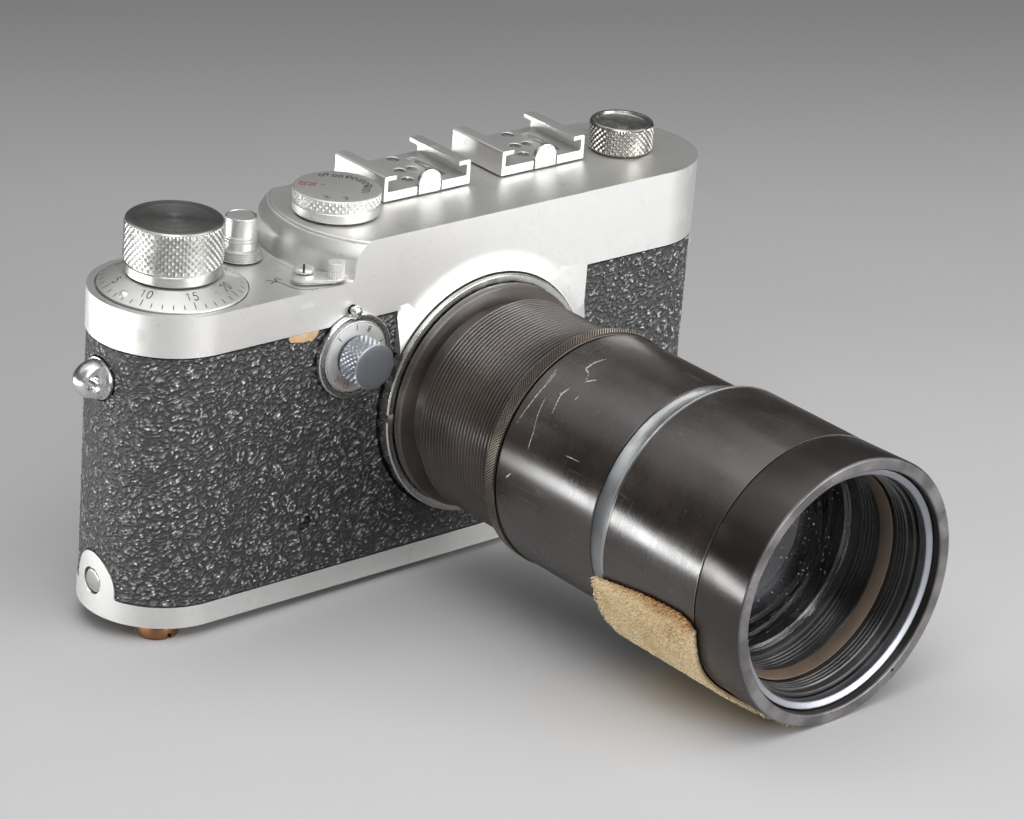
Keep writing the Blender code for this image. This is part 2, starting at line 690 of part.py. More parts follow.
def front_boss():
    """The cone raised round the mount, kept within the front panel."""
    sunk = CASE_WALL / 2
    flare = sunk * (BOSS_FOOT_R - BOSS_TOP_R) / BOSS_HEIGHT
    profile = [(BOSS_TOP_R, BODY_R + BOSS_HEIGHT), (BOSS_FOOT_R + flare, BODY_R - sunk),
               (CLEAR_R - GAP, BODY_R - sunk), (CLEAR_R - GAP, BODY_R + BOSS_HEIGHT)]
    cone = turned("front_boss", profile, (LENS_X, 0.0, LENS_Z), FORWARD, FINE)
    keep = box("boss_side", (PANEL_LEFT, -2 * BODY_R, PANEL_BOTTOM),
               (PANEL_RIGHT, 0.0, HIGH_DECK))
    combine(cone, keep, "INTERSECT")
    return cone


def make_top_cover():
    """The chrome cover with its two decks and the front panel that hangs from it."""
    cover = slab("top_cover", [stadium(BODY_R)], COVER_BOTTOM, HIGH_DECK)
    edge = cover.modifiers.new("edge", "BEVEL")
    edge.width = DECK_ROUNDING
    edge.segments = 2
    edge.limit_method = "ANGLE"
    edge.angle_limit = CREASE
    low_ceiling = LOW_DECK - LOW_DECK_SHEET
    cut(cover, step_cutter(),
        slab("cover_low_hollow", [stadium(COVER_INNER_R)], COVER_BOTTOM - CASE_WALL,
             low_ceiling),
        slab("cover_high_hollow", [deck_inside(COVER_INNER_R - UPPER_LEDGE)],
             low_ceiling - GAP, HIGH_DECK - HIGH_DECK_SHEET))
    panel = box("front_panel", (PANEL_LEFT, -BODY_R, PANEL_BOTTOM),
                (PANEL_RIGHT, -PANEL_BACK, COVER_BOTTOM + 2 * DECK_ROUNDING))
    join(cover, panel, front_boss())
    cut(cover,
        front_hole("cover_mount_hole", CLEAR_R, LENS_X, LENS_Z, FINE),
        front_hole("cover_lock_hole", LOCK_STEM_R + GAP, LOCK_BUTTON_X, LOCK_BUTTON_Z),
        rod("dial_recess", DIAL_R + GAP, DIAL_SEAT, HIGH_DECK, (WIND_X, 0.0, 0.0), DOWN, FINE))
    for name, radius, x, y in (
            ("wind_hole", BORE, WIND_X, 0.0),
            ("release_hole", RELEASE_ROD_R + GAP, RELEASE_X, RELEASE_Y),
            ("lever_hole", SCREW_SHANK_R + GAP, LEVER_X, LEVER_Y),
            ("speed_hole", SPINDLE_R + GAP, SPEED_X, 0.0),
            ("rewind_hole", REWIND_SHAFT_R + REWIND_TUBE_WALL + 2 * GAP, REWIND_X, 0.0)):
        cut(cover, rod(name, radius, CHASSIS_TOP, HIGH_DECK + GAP, (x, y, 0.0)))
    paint(cover, CHROME)


def make_base():
    """The base plate, a shallow tray that swings down about the lip of its left ear."""
    base = slab("base_plate", [stadium(BODY_R)], 0.0, BASE_HEIGHT)
    edge = base.modifiers.new("edge", "BEVEL")
    edge.width = DECK_ROUNDING
    edge.segments = 2
    edge.limit_method = "ANGLE"
    edge.angle_limit = CREASE
    ear = slab("ear", [stadium(BODY_R)], BASE_HEIGHT / 2, EAR_TOP + GAP)
    combine(ear, ear_shape("ear_outline", 0.0), "INTERSECT")
    join(base, ear)
    cut(base,
        slab("base_hollow", [stadium(COVER_INNER_R)], BASE_FLOOR, 2 * EAR_TOP),
        rod("ear_pin_hole", EAR_PIN_R + GAP, -BODY_LENGTH, -END_X - SHELL_INNER_R,
            (0.0, 0.0, EAR_PIN_Z), SIDEWAYS, MEDIUM),
        rod("bush_hole", TRIPOD_BUSH_R + GAP, -BASE_HEIGHT, BASE_HEIGHT,
            (WIND_X, 0.0, 0.0), DOWN, MEDIUM),
        rod("stud_hole", STUD_SHANK_R + GAP, -BASE_HEIGHT, BASE_HEIGHT, (STUD_X, STUD_Y, 0.0)),
        rod("key_hole", KEY_R + GAP, -BASE_HEIGHT, BASE_HEIGHT, (KEY_X, 0.0, 0.0), DOWN, MEDIUM))
    move_origin(base, Vector((-END_X - BODY_R, 0.0, EAR_TOP)))
    paint(base, CHROME)
    pin = rod("base_hinge_pin", EAR_PIN_R, -END_X - BODY_R - LEATHER_INSET,
              -END_X - SHELL_R - GAP, (0.0, 0.0, EAR_PIN_Z), SIDEWAYS, MEDIUM)
    paint(pin, BRIGHT)


def move_origin(obj, point):
    """Put an object's origin at a point of the body frame, its shape staying put."""
    shift = point - Vector(obj.location)
    for vertex in obj.data.vertices:
        vertex.co -= shift
    obj.location = point


def make_base_fittings():
    """Tripod bush, brass stud and the locking key with its folding bail."""
    bush = [(TRIPOD_FLANGE_R, TRIPOD_HEIGHT), (TRIPOD_FLANGE_R, SHELL_BOTTOM),
            (TRIPOD_BUSH_R, SHELL_BOTTOM), (TRIPOD_BUSH_R, 0.0), (TRIPOD_BORE_R, 0.0),
            (TRIPOD_BORE_R, TRIPOD_HEIGHT)]
    paint(turned("tripod_bush", bush, (WIND_X, 0.0, 0.0)), BRIGHT)
    stud = turned("brass_stud",
                  [(0.0, BASE_FLOOR), (STUD_SHANK_R, BASE_FLOOR),
                   (STUD_SHANK_R, -GAP), (STUD_R, -GAP), (STUD_R, GAP - STUD_DROP),
                   (STUD_R - GAP, -STUD_DROP), (0.0, -STUD_DROP)], (STUD_X, STUD_Y, 0.0))
    cut(stud, box("stud_slot", (STUD_X - STUD_SLOT / 2, STUD_Y - 2 * STUD_R, -2 * STUD_DROP),
                  (STUD_X + STUD_SLOT / 2, STUD_Y + 2 * STUD_R, -STUD_DROP / 2)))
    paint(stud, BRASS)
    face = -GAP
    key = [(0.0, KEY_HUB_TOP), (KEY_HUB_R, KEY_HUB_TOP), (KEY_HUB_R, KEY_SHEET + face),
           (KEY_R, KEY_SHEET + face), (KEY_R, -KEY_DROP), (KEY_RECESS_R, -KEY_DROP),
           (KEY_RECESS_R, face), (0.0, face)]
    paint(turned("lock_key", key, (KEY_X, 0.0, 0.0)), CHROME)
    bail = bpy.data.curves.new("lock_bail", "CURVE")
    bail.dimensions = "3D"
    bail.bevel_depth = BAIL_WIRE_R
    bail.bevel_resolution = 1
    spline = bail.splines.new("POLY")
    points = arc(0.0, 0.0, BAIL_R, 0.0, pi, SMALL)
    spline.points.add(len(points) - 1)
    for point, (x, y) in zip(spline.points, points):
        point.co = (x, y, 0.0, 1.0)
    spline.use_cyclic_u = True
    obj = add_object("lock_bail", bail, (KEY_X, 0.0, face - GAP - BAIL_WIRE_R), DOWN)
    paint(obj, BRIGHT)


def make_body_screw():
    """The small slotted screw through the skin on the front."""
    head = LEATHER_R - LEATHER_INSET / 2
    profile = [(0.0, head), (BODY_SCREW_R, head), (BODY_SCREW_R, SHELL_R + GAP),
               (SCREW_SHANK_R, SHELL_R + GAP), (SCREW_SHANK_R, SHELL_INNER_R),
               (0.0, SHELL_INNER_R)]
    paint(turned("body_screw", profile, (BODY_SCREW_X, 0.0, BODY_SCREW_Z), FORWARD, SMALL),
          BLACK)


def make_lug(name, side):
    """A strap lug: a domed stud with two flats and a cross hole, on a round foot."""
    foot = END_X + SHELL_R + GAP
    seat = foot + LUG_BASE
    dome = [(LUG_R * sin(a), seat + LUG_REACH * cos(a))
            for a in [pi / 2 * i / 8 for i in range(9)]]
    profile = [*dome, (LUG_BASE_R, seat), (LUG_BASE_R, foot), (LUG_SHANK_R, foot),
               (LUG_SHANK_R, foot - SHELL_WALL - GAP), (0.0, foot - SHELL_WALL - GAP)]
    profile[0] = (0.0, profile[0][1])
    lug = turned(name, profile, (0.0, 0.0, LUG_Z), (0.0, side * pi / 2, 0.0), MEDIUM)
    near, far = sorted((side * seat, side * (seat + 2 * LUG_REACH)))
    half = LUG_THICKNESS / 2
    for face in (-1, 1):
        low, high = sorted((face * half, face * 3 * half))
        cut(lug, box(name + "_flat", (near, low, 0.0), (far, high, 2 * LUG_Z)))
    hole_x = side * (seat + LUG_HOLE_REACH)
    cut(lug, rod(name + "_hole", LUG_HOLE_R, -BODY_R, BODY_R, (hole_x, 0.0, LUG_Z), FORWARD))
    paint(lug, BRIGHT)


def gear(name, tip, x, y):
    """A toothed wheel in the top housing."""
    return slab(name, [toothed(tip - TOOTH_DEPTH, tip, GEAR_TEETH)], GEAR_BOTTOM,
                GEAR_BOTTOM + GEAR_HEIGHT, (x, y, 0.0))


def make_wind_side():
    """Wind knob, its shaft with a gear, the frame counter and the take-up spool."""
    place = (WIND_X, 0.0, 0.0)
    blind = WIND_KNOB_TOP - WIND_BORE_ROOF
    ring_top = WIND_KNOB_BOTTOM + WIND_RING_HEIGHT
    knob = [(0.0, WIND_KNOB_TOP), (WIND_KNOB_R - DECK_ROUNDING, WIND_KNOB_TOP),
            (WIND_KNOB_R, WIND_KNOB_TOP - DECK_ROUNDING), (WIND_KNOB_R, ring_top),
            (WIND_RING_R, ring_top), (WIND_RING_R, WIND_KNOB_BOTTOM), (BORE, WIND_KNOB_BOTTOM),
            (BORE, blind), (0.0, blind)]
    paint(turned("wind_knob", knob, place), CHROME)
    shaft = rod("wind_shaft", WIND_SHAFT_R, SPOOL_TOP / 2, blind - GAP, place)
    join(shaft, gear("wind_gear", WIND_GEAR_R, WIND_X, 0.0))
    paint(shaft, STEEL)
    dial = turned("counter_dial",
                  [(DIAL_FLAT_R, DIAL_TOP), (DIAL_R, DIAL_SEAT + GAP + DIAL_SHEET),
                   (DIAL_R, DIAL_SEAT + GAP), (BORE, DIAL_SEAT + GAP), (BORE, DIAL_TOP)],
                  place, DOWN, FINE)
    ball = turned("dial_ball", [(0.0, BALL_R), *[(BALL_R * sin(a), BALL_R * cos(a))
                  for a in [pi * i / 6 for i in range(1, 6)]], (0.0, -BALL_R)],
                  (WIND_X + BALL_REACH * cos(BALL_ANGLE), BALL_REACH * sin(BALL_ANGLE),
                   LOW_DECK + DIAL_SHEET), DOWN, SMALL)
    join(dial, ball)
    paint(dial, CHROME)
    spool = [(SPOOL_FLANGE_R, SPOOL_TOP), (SPOOL_FLANGE_R, SPOOL_TOP - SPOOL_FLANGE),
             (SPOOL_CORE_R, SPOOL_TOP - SPOOL_FLANGE), (SPOOL_CORE_R, SPOOL_BOTTOM + SPOOL_FLANGE),
             (SPOOL_FLANGE_R, SPOOL_BOTTOM + SPOOL_FLANGE), (SPOOL_FLANGE_R, SPOOL_BOTTOM),
             (BORE, SPOOL_BOTTOM), (BORE, SPOOL_TOP)]
    paint(turned("take_up_spool", spool, place, DOWN, MEDIUM), BLACK)


def make_release():
    """Release collar, the button with its long rod, the return spring and the sprocket."""
    place = (RELEASE_X, RELEASE_Y, 0.0)
    foot = LOW_DECK + GAP
    step1 = foot + COLLAR_HEIGHT
    step2 = step1 + BAND_HEIGHT
    step3 = step2 + DOUBLE_RING_HEIGHT
    collar = [(SLEEVE_R, RELEASE_TOP), (SLEEVE_R, step3), (DOUBLE_RING_R, step3),
              (DOUBLE_RING_R, step2), (BAND_R, step2), (BAND_R, step1), (COLLAR_R, step1),
              (COLLAR_R, foot), (RELEASE_ROD_R + GAP, foot), (RELEASE_ROD_R + GAP, SLEEVE_FLOOR),
              (SLEEVE_BORE_R, SLEEVE_FLOOR), (SLEEVE_BORE_R, RELEASE_TOP)]
    paint(turned("release_collar", collar, place), CHROME)
    top = RELEASE_TOP - GAP / 3
    under = top - BUTTON_HEIGHT
    button_r = SLEEVE_BORE_R - GAP
    button = [(0.0, top), (button_r, top), (button_r, under), (RELEASE_ROD_R, under),
              (RELEASE_ROD_R, ROD_BOTTOM), (0.0, ROD_BOTTOM)]
    paint(turned("release_button", button, place, DOWN, SMALL), DARK_CHROME)
    make_release_spring(place)
    make_sprocket(place)


def make_release_spring(place):
    """The return spring, which stands on the shelf under the release rod."""
    low = SHAFT_FOOT + SPRING_WIRE_R
    rise = ROD_BOTTOM - GAP - SPRING_WIRE_R - low
    count = SPRING_TURNS * SMALL
    coil = bpy.data.curves.new("release_spring", "CURVE")
    coil.dimensions = "3D"
    coil.bevel_depth = SPRING_WIRE_R
    coil.bevel_resolution = 0
    coil.use_fill_caps = True
    spline = coil.splines.new("POLY")
    spline.points.add(count)
    for i, point in enumerate(spline.points):
        angle = 2 * pi * i / SMALL
        point.co = (SPRING_R * cos(angle), SPRING_R * sin(angle), low + rise * i / count, 1.0)
    paint(as_mesh("release_spring", coil, (0.0, 0.0, 0.0), place, DOWN), STEEL)


def make_sprocket(place):
    """The film sprocket on its hollow shaft, with its gear above the chassis."""
    low = LENS_Z - SPROCKET_ROW - SPROCKET_WHEEL / 2
    high = LENS_Z + SPROCKET_ROW + SPROCKET_WHEEL / 2
    sprocket = rod("sprocket", SPROCKET_SHAFT_R, low - 4 * GAP, GEAR_BOTTOM + 2 * GEAR_HEIGHT,
                   place, DOWN, SMALL)
    join(sprocket, rod("sprocket_core", SPROCKET_R, low - GAP, high + GAP, place, DOWN, MEDIUM))
    for row, start in (("lower", low), ("upper", high - SPROCKET_WHEEL)):
        teeth = slab("sprocket_teeth_" + row,
                     [toothed(SPROCKET_R - GAP, SPROCKET_TOOTH_R, SPROCKET_TEETH)], start,
                     start + SPROCKET_WHEEL, place)
        join(sprocket, teeth)
    join(sprocket, gear("sprocket_gear", WIND_GEAR_R, RELEASE_X, RELEASE_Y))
    cut(sprocket, rod("sprocket_bore", RELEASE_ROD_R + GAP, 0.0, HIGH_DECK, place))
    paint(sprocket, STEEL)


def make_lever():
    """The rewind-release lever with its knurled post, and the screw it turns on."""
    low = LOW_DECK + GAP
    high = low + LEVER_SHEET
    dx = POST_X - LEVER_X
    dy = POST_Y - LEVER_Y
    way = atan2(dy, dx)
    hub = arc(0.0, 0.0, LEVER_HUB_R, way + pi / 2, way + 3 * pi / 2, SMALL)
    tip = arc(dx, dy, LEVER_TIP_R, way - pi / 2, way + pi / 2, SMALL)
    place = (LEVER_X, LEVER_Y, 0.0)
    lever = slab("rewind_lever", [hub + tip], low, high, place)
    join(lever,
         rod("lever_boss", LEVER_HUB_R - GAP, low + GAP, high + LEVER_BOSS, place, DOWN, MEDIUM),
         rod("lever_post", POST_R, low + GAP, high + POST_HEIGHT, (POST_X, POST_Y, 0.0), DOWN,
             MEDIUM))
    cut(lever, rod("lever_bore", SCREW_SHANK_R + GAP, 0.0, HIGH_DECK, place))
    paint(lever, CHROME)
    seat = high + LEVER_BOSS + GAP
    top = seat + LEVER_SCREW_HEAD
    screw = turned("lever_screw",
                   [(0.0, top), (LEVER_SCREW_R, top), (LEVER_SCREW_R, seat),
                    (SCREW_SHANK_R, seat), (SCREW_SHANK_R, LOW_DECK - LOW_DECK_SHEET),
                    (0.0, LOW_DECK - LOW_DECK_SHEET)], place)
    cut(screw, box("lever_screw_slot", (LEVER_X - GAP, LEVER_Y - POST_R * 2, top - GAP),
                   (LEVER_X + GAP, LEVER_Y + POST_R * 2, top + GAP)))
    paint(screw, BRIGHT)


def make_speed_dial():
    """The speed dial on its lifting sleeve, and the spindle with its gear."""
    place = (SPEED_X, 0.0, 0.0)
    bottom = HIGH_DECK + GAP
    sleeve_in = SPINDLE_R + GAP
    sleeve_out = sleeve_in + SLEEVE_WALL
    ceiling = SPEED_TOP - 2 * GAP - SLEEVE_WALL
    dial = [(0.0, SPEED_TOP), (SPEED_DIAL_R - GAP, SPEED_TOP), (SPEED_DIAL_R, SPEED_TOP - GAP),
            (SPEED_DIAL_R, SPEED_KNURL_BOTTOM), (SPEED_RING_R, SPEED_KNURL_BOTTOM),
            (SPEED_RING_R, bottom), (sleeve_out + GAP, bottom), (sleeve_out + GAP, ceiling),
            (0.0, ceiling)]
    paint(turned("speed_dial", dial, place, DOWN, FINE), CHROME)
    paint(turned("speed_sleeve", ring(sleeve_out, sleeve_in, ceiling - GAP, bottom), place),
          STEEL)
    spindle = rod("speed_spindle", SPINDLE_R, SHAFT_FOOT, ceiling - GAP, place)
    join(spindle, gear("drum_gear", DRUM_GEAR_R, SPEED_X, 0.0))
    paint(spindle, STEEL)


def make_slow_dial():
    """The slow-speed dial on the front, with its knob, lock button and train block."""
    place = (SLOW_X, 0.0, SLOW_Z)
    floor = PLATE_BACK + SLOW_PLATE_FLOOR
    bore = SLOW_SHAFT_R + GAP
    inner = SLOW_DISC_R + GAP
    plate = turned("slow_plate",
                   [(SLOW_PLATE_R, SLOW_PLATE_FRONT), (SLOW_PLATE_R, PLATE_BACK),
                    (bore, PLATE_BACK), (bore, floor), (inner, floor),
                    (inner, SLOW_PLATE_FRONT)], place, FORWARD, FINE)
    cut(plate, rod("slow_plate_notch", LOCK_BUTTON_R + GAP, BODY_R, 2 * BODY_R,
                   (LOCK_BUTTON_X, 0.0, LOCK_BUTTON_Z), FORWARD, MEDIUM))
    paint(plate, BRIGHT)
    disc_back = floor + GAP
    disc_front = disc_back + SLOW_DISC
    paint(turned("slow_disc", ring(SLOW_DISC_R, bore, disc_front, disc_back), place, FORWARD,
                 FINE), CHROME)
    back = disc_front + GAP
    knob = [(0.0, SLOW_KNOB_FRONT), (SLOW_KNOB_R - GAP, SLOW_KNOB_FRONT),
            (SLOW_KNOB_R, SLOW_KNOB_FRONT - GAP), (SLOW_KNOB_R, back), (SLOW_SHAFT_R, back),
            (SLOW_SHAFT_R, ESCAPEMENT_FRONT - 2 * SLOW_SHAFT_R),
            (0.0, ESCAPEMENT_FRONT - 2 * SLOW_SHAFT_R)]
    paint(turned("slow_knob", knob, place, FORWARD), BRIGHT)
    head = BODY_R + LOCK_TRAVEL + GAP
    stem = BODY_R - CASE_WALL / 4
    button = [(0.0, head + LOCK_HEAD), (LOCK_BUTTON_R - GAP, head + LOCK_HEAD),
              (LOCK_BUTTON_R, head + LOCK_HEAD - GAP), (LOCK_BUTTON_R, head),
              (LOCK_STEM_R, head), (LOCK_STEM_R, stem), (0.0, stem)]
    paint(turned("slow_lock_button", button, (LOCK_BUTTON_X, 0.0, LOCK_BUTTON_Z), FORWARD,
                 SMALL), BRIGHT)
    train = box("slow_train", (SLOW_X - ESCAPEMENT_HALF_X, -ESCAPEMENT_FRONT, ESCAPEMENT_BOTTOM),
                (SLOW_X + ESCAPEMENT_HALF_X, ESCAPEMENT_DEPTH - ESCAPEMENT_FRONT, FRAME_TOP))
    cut(train, rod("train_bore", bore, ESCAPEMENT_FRONT - 3 * SLOW_SHAFT_R, BODY_R, place,
                   FORWARD))
    paint(train, BRASS)


def make_rewind():
    """The rewind knob on its telescopic tube, and the forked shaft inside it."""
    place = (REWIND_X, 0.0, 0.0)
    bore = REWIND_SHAFT_R + GAP
    tube = bore + REWIND_TUBE_WALL
    bottom = HIGH_DECK + GAP
    blind = REWIND_TOP - 6 * GAP
    knob = [(0.0, REWIND_TOP), (REWIND_KNOB_R - GAP, REWIND_TOP),
            (REWIND_KNOB_R, REWIND_TOP - GAP), (REWIND_KNOB_R, bottom), (tube, bottom),
            (tube, bottom - REWIND_TUBE), (bore, bottom - REWIND_TUBE), (bore, blind),
            (0.0, blind)]
    paint(turned("rewind_knob", knob, place), CHROME)
    shaft = rod("rewind_shaft", REWIND_SHAFT_R, FORK_BOTTOM, blind - GAP, place)
    for side in (-1, 1):
        low, high = sorted((side * FORK_THICKNESS / 2, side * 3 * REWIND_SHAFT_R))
        cut(shaft, box("fork_flat", (REWIND_X - 2 * REWIND_SHAFT_R, low, 0.0),
                       (REWIND_X + 2 * REWIND_SHAFT_R, high, FORK_BOTTOM + FORK_HEIGHT)))
    paint(shaft, STEEL)


def make_shoe(name, left):
    """An accessory shoe: a channel with inward lips, and the spring tongue in its front."""
    wall = (SHOE_WIDTH - SHOE_SLOT) / 2
    under_lip = SHOE_HEIGHT - SHOE_LIP_SHEET
    half = [(0.0, 0.0), (0.0, SHOE_HEIGHT), (SHOE_LIP, SHOE_HEIGHT), (SHOE_LIP, under_lip),
            (wall, under_lip), (wall, SHOE_FLOOR)]
    outline = half + [(SHOE_WIDTH - x, z) for x, z in reversed(half)]
    back = SHOE_FRONT + SHOE_LENGTH
    shoe = slab(name, [outline], -back, -SHOE_FRONT, (left, 0.0, SHOE_BASE), FORWARD)
    middle = left + SHOE_WIDTH / 2 + TONGUE_OFFSET
    half_notch = TONGUE_WIDTH / 2 + GAP
    notch_back = SHOE_FRONT + TONGUE_SHEET + GAP
    cut(shoe, box(name + "_notch", (middle - half_notch, SHOE_FRONT - GAP, 0.0),
                  (middle + half_notch, notch_back, 2 * HIGH_DECK)))
    slot = left + SPRING_SLOT_X
    slot_front = SHOE_FRONT + (SHOE_LENGTH - SPRING_SLOT_LENGTH) / 2
    floor = SHOE_BASE + SHOE_FLOOR
    cut(shoe, box(name + "_slot", (slot, slot_front, floor - SPRING_SLOT_DEPTH),
                  (slot + SPRING_SLOT_WIDTH, slot_front + SPRING_SLOT_LENGTH, floor + GAP)))
    paint(shoe, CHROME)
    r = TONGUE_WIDTH / 2
    tongue = [(-r, 0.0), (r, 0.0), *arc(0.0, TONGUE_HEIGHT - r, r, 0.0, pi, SMALL)]
    plate = slab(name + "_tongue", [tongue], -SHOE_FRONT - TONGUE_SHEET, -SHOE_FRONT,
                 (middle, 0.0, SHOE_BASE), FORWARD)
    paint(plate, BRIGHT)


def make_mount():
    """The screwed-on mount flange, with its notch at the left."""
    flange = lens_ring("mount_flange",
                       [(FLANGE_R, FLANGE_FRONT), (FLANGE_R, SHELL_R + GAP),
                        (MOUNT_SPIGOT_R, SHELL_R + GAP), (MOUNT_SPIGOT_R, CRATE_FRONT + GAP),
                        (MOUNT_BORE_R, CRATE_FRONT + GAP), (MOUNT_BORE_R, FLANGE_FRONT)],
                       BRIGHT, FINE)
    cut(flange, box("flange_notch",
                    (LENS_X - 2 * FLANGE_R, -2 * FLANGE_FRONT, LENS_Z - NOTCH_WIDTH / 2),
                    (LENS_X - FLANGE_FACE_R, NOTCH_DEPTH - FLANGE_FRONT,
                     LENS_Z + NOTCH_WIDTH / 2)))


def glass(front, edge, radius, rise):
    """The profile of a lens element that bulges forwards, flat behind."""
    dome = [(radius * i / 6, front + rise * (1 - (i / 6) ** 2)) for i in range(7)]
    return [*dome, (radius, front - edge), (0.0, front - edge)]


def make_lens_tube():
    """The adapter that screws into the mount and carries the long threaded tube."""
    back = FLANGE_FRONT + GAP
    front = back + ADAPTER_DISC
    thread_r = MOUNT_BORE_R - GAP
    lens_ring("lens_adapter",
              [(TUBE_R, TUBE_END), (TUBE_R, TUBE_START), (NECK_R, TUBE_START), (NECK_R, front),
               (ADAPTER_DISC_R, front), (ADAPTER_DISC_R, back), (thread_r, back),
               (thread_r, CRATE_FRONT + GAP), (TUBE_BORE_R, CRATE_FRONT + GAP),
               (TUBE_BORE_R, TUBE_END)], DARK_BARREL)


def make_lens_barrel():
    """The turning outer barrel, from the knurled ring to the front rim."""
    seat = FOCUS_RING_START + FOCUS_RING_WIDTH + GAP
    lens_ring("focus_ring", ring(FOCUS_RING_R, FOCUS_SEAT_R + GAP,
                                 FOCUS_RING_START + FOCUS_RING_WIDTH, FOCUS_RING_START),
              DARK_BARREL)
    lens_ring("barrel_rear",
              [(BARREL_REAR_R, BARREL_REAR_END), (BARREL_REAR_R, seat), (FOCUS_SEAT_R, seat),
               (FOCUS_SEAT_R, FOCUS_RING_START + GAP), (BARREL_BORE_R, FOCUS_RING_START + GAP),
               (BARREL_BORE_R, BARREL_REAR_END)], DARK_BARREL)
    front = STEP_RING_END
    lens_ring("step_ring",
              [(SPIGOT_R, front + SPIGOT_LENGTH), (SPIGOT_R, front), (BARREL_FRONT_R, front),
               (BARREL_REAR_R, BARREL_REAR_END + GAP), (STEP_BORE_R, BARREL_REAR_END + GAP),
               (STEP_BORE_R, front + SPIGOT_LENGTH)], BARE_METAL)
    lens_ring("barrel_front", ring(BARREL_FRONT_R, BARREL_FRONT_R - BARREL_FRONT_WALL,
                                   FRONT_RING_START - GAP, front + GAP), DARK_BARREL)
    lens_ring("front_ring",
              [(RIM_R - GAP, LENS_FRONT), (RIM_R, LENS_FRONT - GAP),
               (BARREL_FRONT_R, FRONT_RING_START), (SPIGOT_R, FRONT_RING_START),
               (SPIGOT_R, FRONT_RING_START - SPIGOT_LENGTH),
               (STEP_BORE_R, FRONT_RING_START - SPIGOT_LENGTH),
               (STEP_BORE_R, LENS_FRONT - LIP_DEPTH), (LIP_R, LENS_FRONT - LIP_DEPTH),
               (LIP_R, LENS_FRONT)], DARK_BARREL)
    retainer = LENS_FRONT - LIP_DEPTH + GAP
    lens_ring("front_retainer", ring(LIP_R - GAP, RETAINER_BORE_R, retainer + RETAINER_DEPTH,
                                     retainer), STEEL)


def make_lens_cell():
    """The sliding inner cell with its two glasses and the brown spacer ring."""
    front_seat = FRONT_GLASS_FACE - FRONT_GLASS_EDGE - GAP
    glass_bore = FRONT_GLASS_R + GAP
    ledge = REAR_GLASS_R + GAP
    lens_ring("lens_cell",
              [(CELL_R, CELL_END), (CELL_R, CELL_START), (ledge, CELL_START),
               (ledge, front_seat), (glass_bore, front_seat),
               (glass_bore, FRONT_GLASS_FACE + SEAT_LEDGE),
               (CELL_BORE_R, FRONT_GLASS_FACE + SEAT_LEDGE), (CELL_BORE_R, CELL_END)], BLACK)
    lens_ring("front_glass", glass(FRONT_GLASS_FACE, FRONT_GLASS_EDGE, FRONT_GLASS_R,
                                   FRONT_GLASS_RISE), GLASS)
    lens_ring("rear_glass", glass(REAR_GLASS_FACE, REAR_GLASS_EDGE, REAR_GLASS_R,
                                  REAR_GLASS_RISE), GLASS)
    outer = CELL_BORE_R - GAP
    back = SPACER_FRONT - SPACER_LENGTH
    lens_ring("spacer_ring", [(outer, SPACER_FRONT), (outer, back), (outer - 3 * GAP, back),
                              (outer - GAP, SPACER_FRONT)], BROWN)


def make_patch():
    """The worn patch of loop fabric stuck round the lower left of the barrel."""
    inner = BARREL_FRONT_R + GAP
    outer = inner + PATCH_THICKNESS
    outline = (arc(0.0, 0.0, outer, PATCH_FROM, PATCH_TO, SMALL)
               + arc(0.0, 0.0, inner, PATCH_TO, PATCH_FROM, SMALL))
    patch = slab("loop_patch", [outline], PATCH_START, PATCH_END, (LENS_X, 0.0, LENS_Z), FORWARD)
    paint(patch, LOOPS)


def make_chassis():
    """The chassis plate, the crate with its shelf, the light tunnel and the film gate."""
    holes = [circle(BORE, WIND_X), circle(SPROCKET_SHAFT_R + GAP, RELEASE_X, RELEASE_Y),
             circle(SPINDLE_R + GAP, SPEED_X), circle(BORE, REWIND_X)]
    plate = slab("chassis_plate", [stadium(CHASSIS_R), *holes], CHASSIS_BOTTOM, CHASSIS_TOP)
    paint(plate, STEEL)
    crate = slab("shutter_crate",
                 [rectangle(CRATE_LEFT, SHELF_TOP - SHELF_SHEET, CRATE_RIGHT, FRAME_TOP),
                  circle(TUBE_BORE_R + GAP, LENS_X, LENS_Z, FINE)],
                 CRATE_FRONT - CRATE_SHEET, CRATE_FRONT, DOWN, FORWARD)
    join(crate, box("crate_shelf", (SHELF_LEFT, GAP - CRATE_FRONT, SHELF_TOP - SHELF_SHEET),
                    (SHELF_RIGHT, SHELF_BACK, SHELF_TOP)))
    paint(crate, STEEL)
    x, z = LENS_X, LENS_Z
    inner_x = TUNNEL_HALF_X - TUNNEL_WALL
    inner_z = TUNNEL_HALF_Z - TUNNEL_WALL
    tunnel = slab("light_tunnel",
                  [rectangle(x - TUNNEL_HALF_X, z - TUNNEL_HALF_Z, x + TUNNEL_HALF_X,
                             z + TUNNEL_HALF_Z),
                   rectangle(x - inner_x, z - inner_z, x + inner_x, z + inner_z)],
                  -TUNNEL_BACK, CRATE_FRONT - CRATE_SHEET - GAP, DOWN, FORWARD)
    paint(tunnel, BLACK)
    gate = slab("film_gate",
                [rectangle(x - GATE_HALF_X, SHAFT_FOOT, x + GATE_HALF_X, FRAME_TOP),
                 rectangle(x - FRAME_HALF_X, z - FRAME_HALF_Z, x + FRAME_HALF_X,
                           z + FRAME_HALF_Z)],
                -GATE_FRONT - GATE_SHEET, -GATE_FRONT, DOWN, FORWARD)
    paint(gate, BLACK)


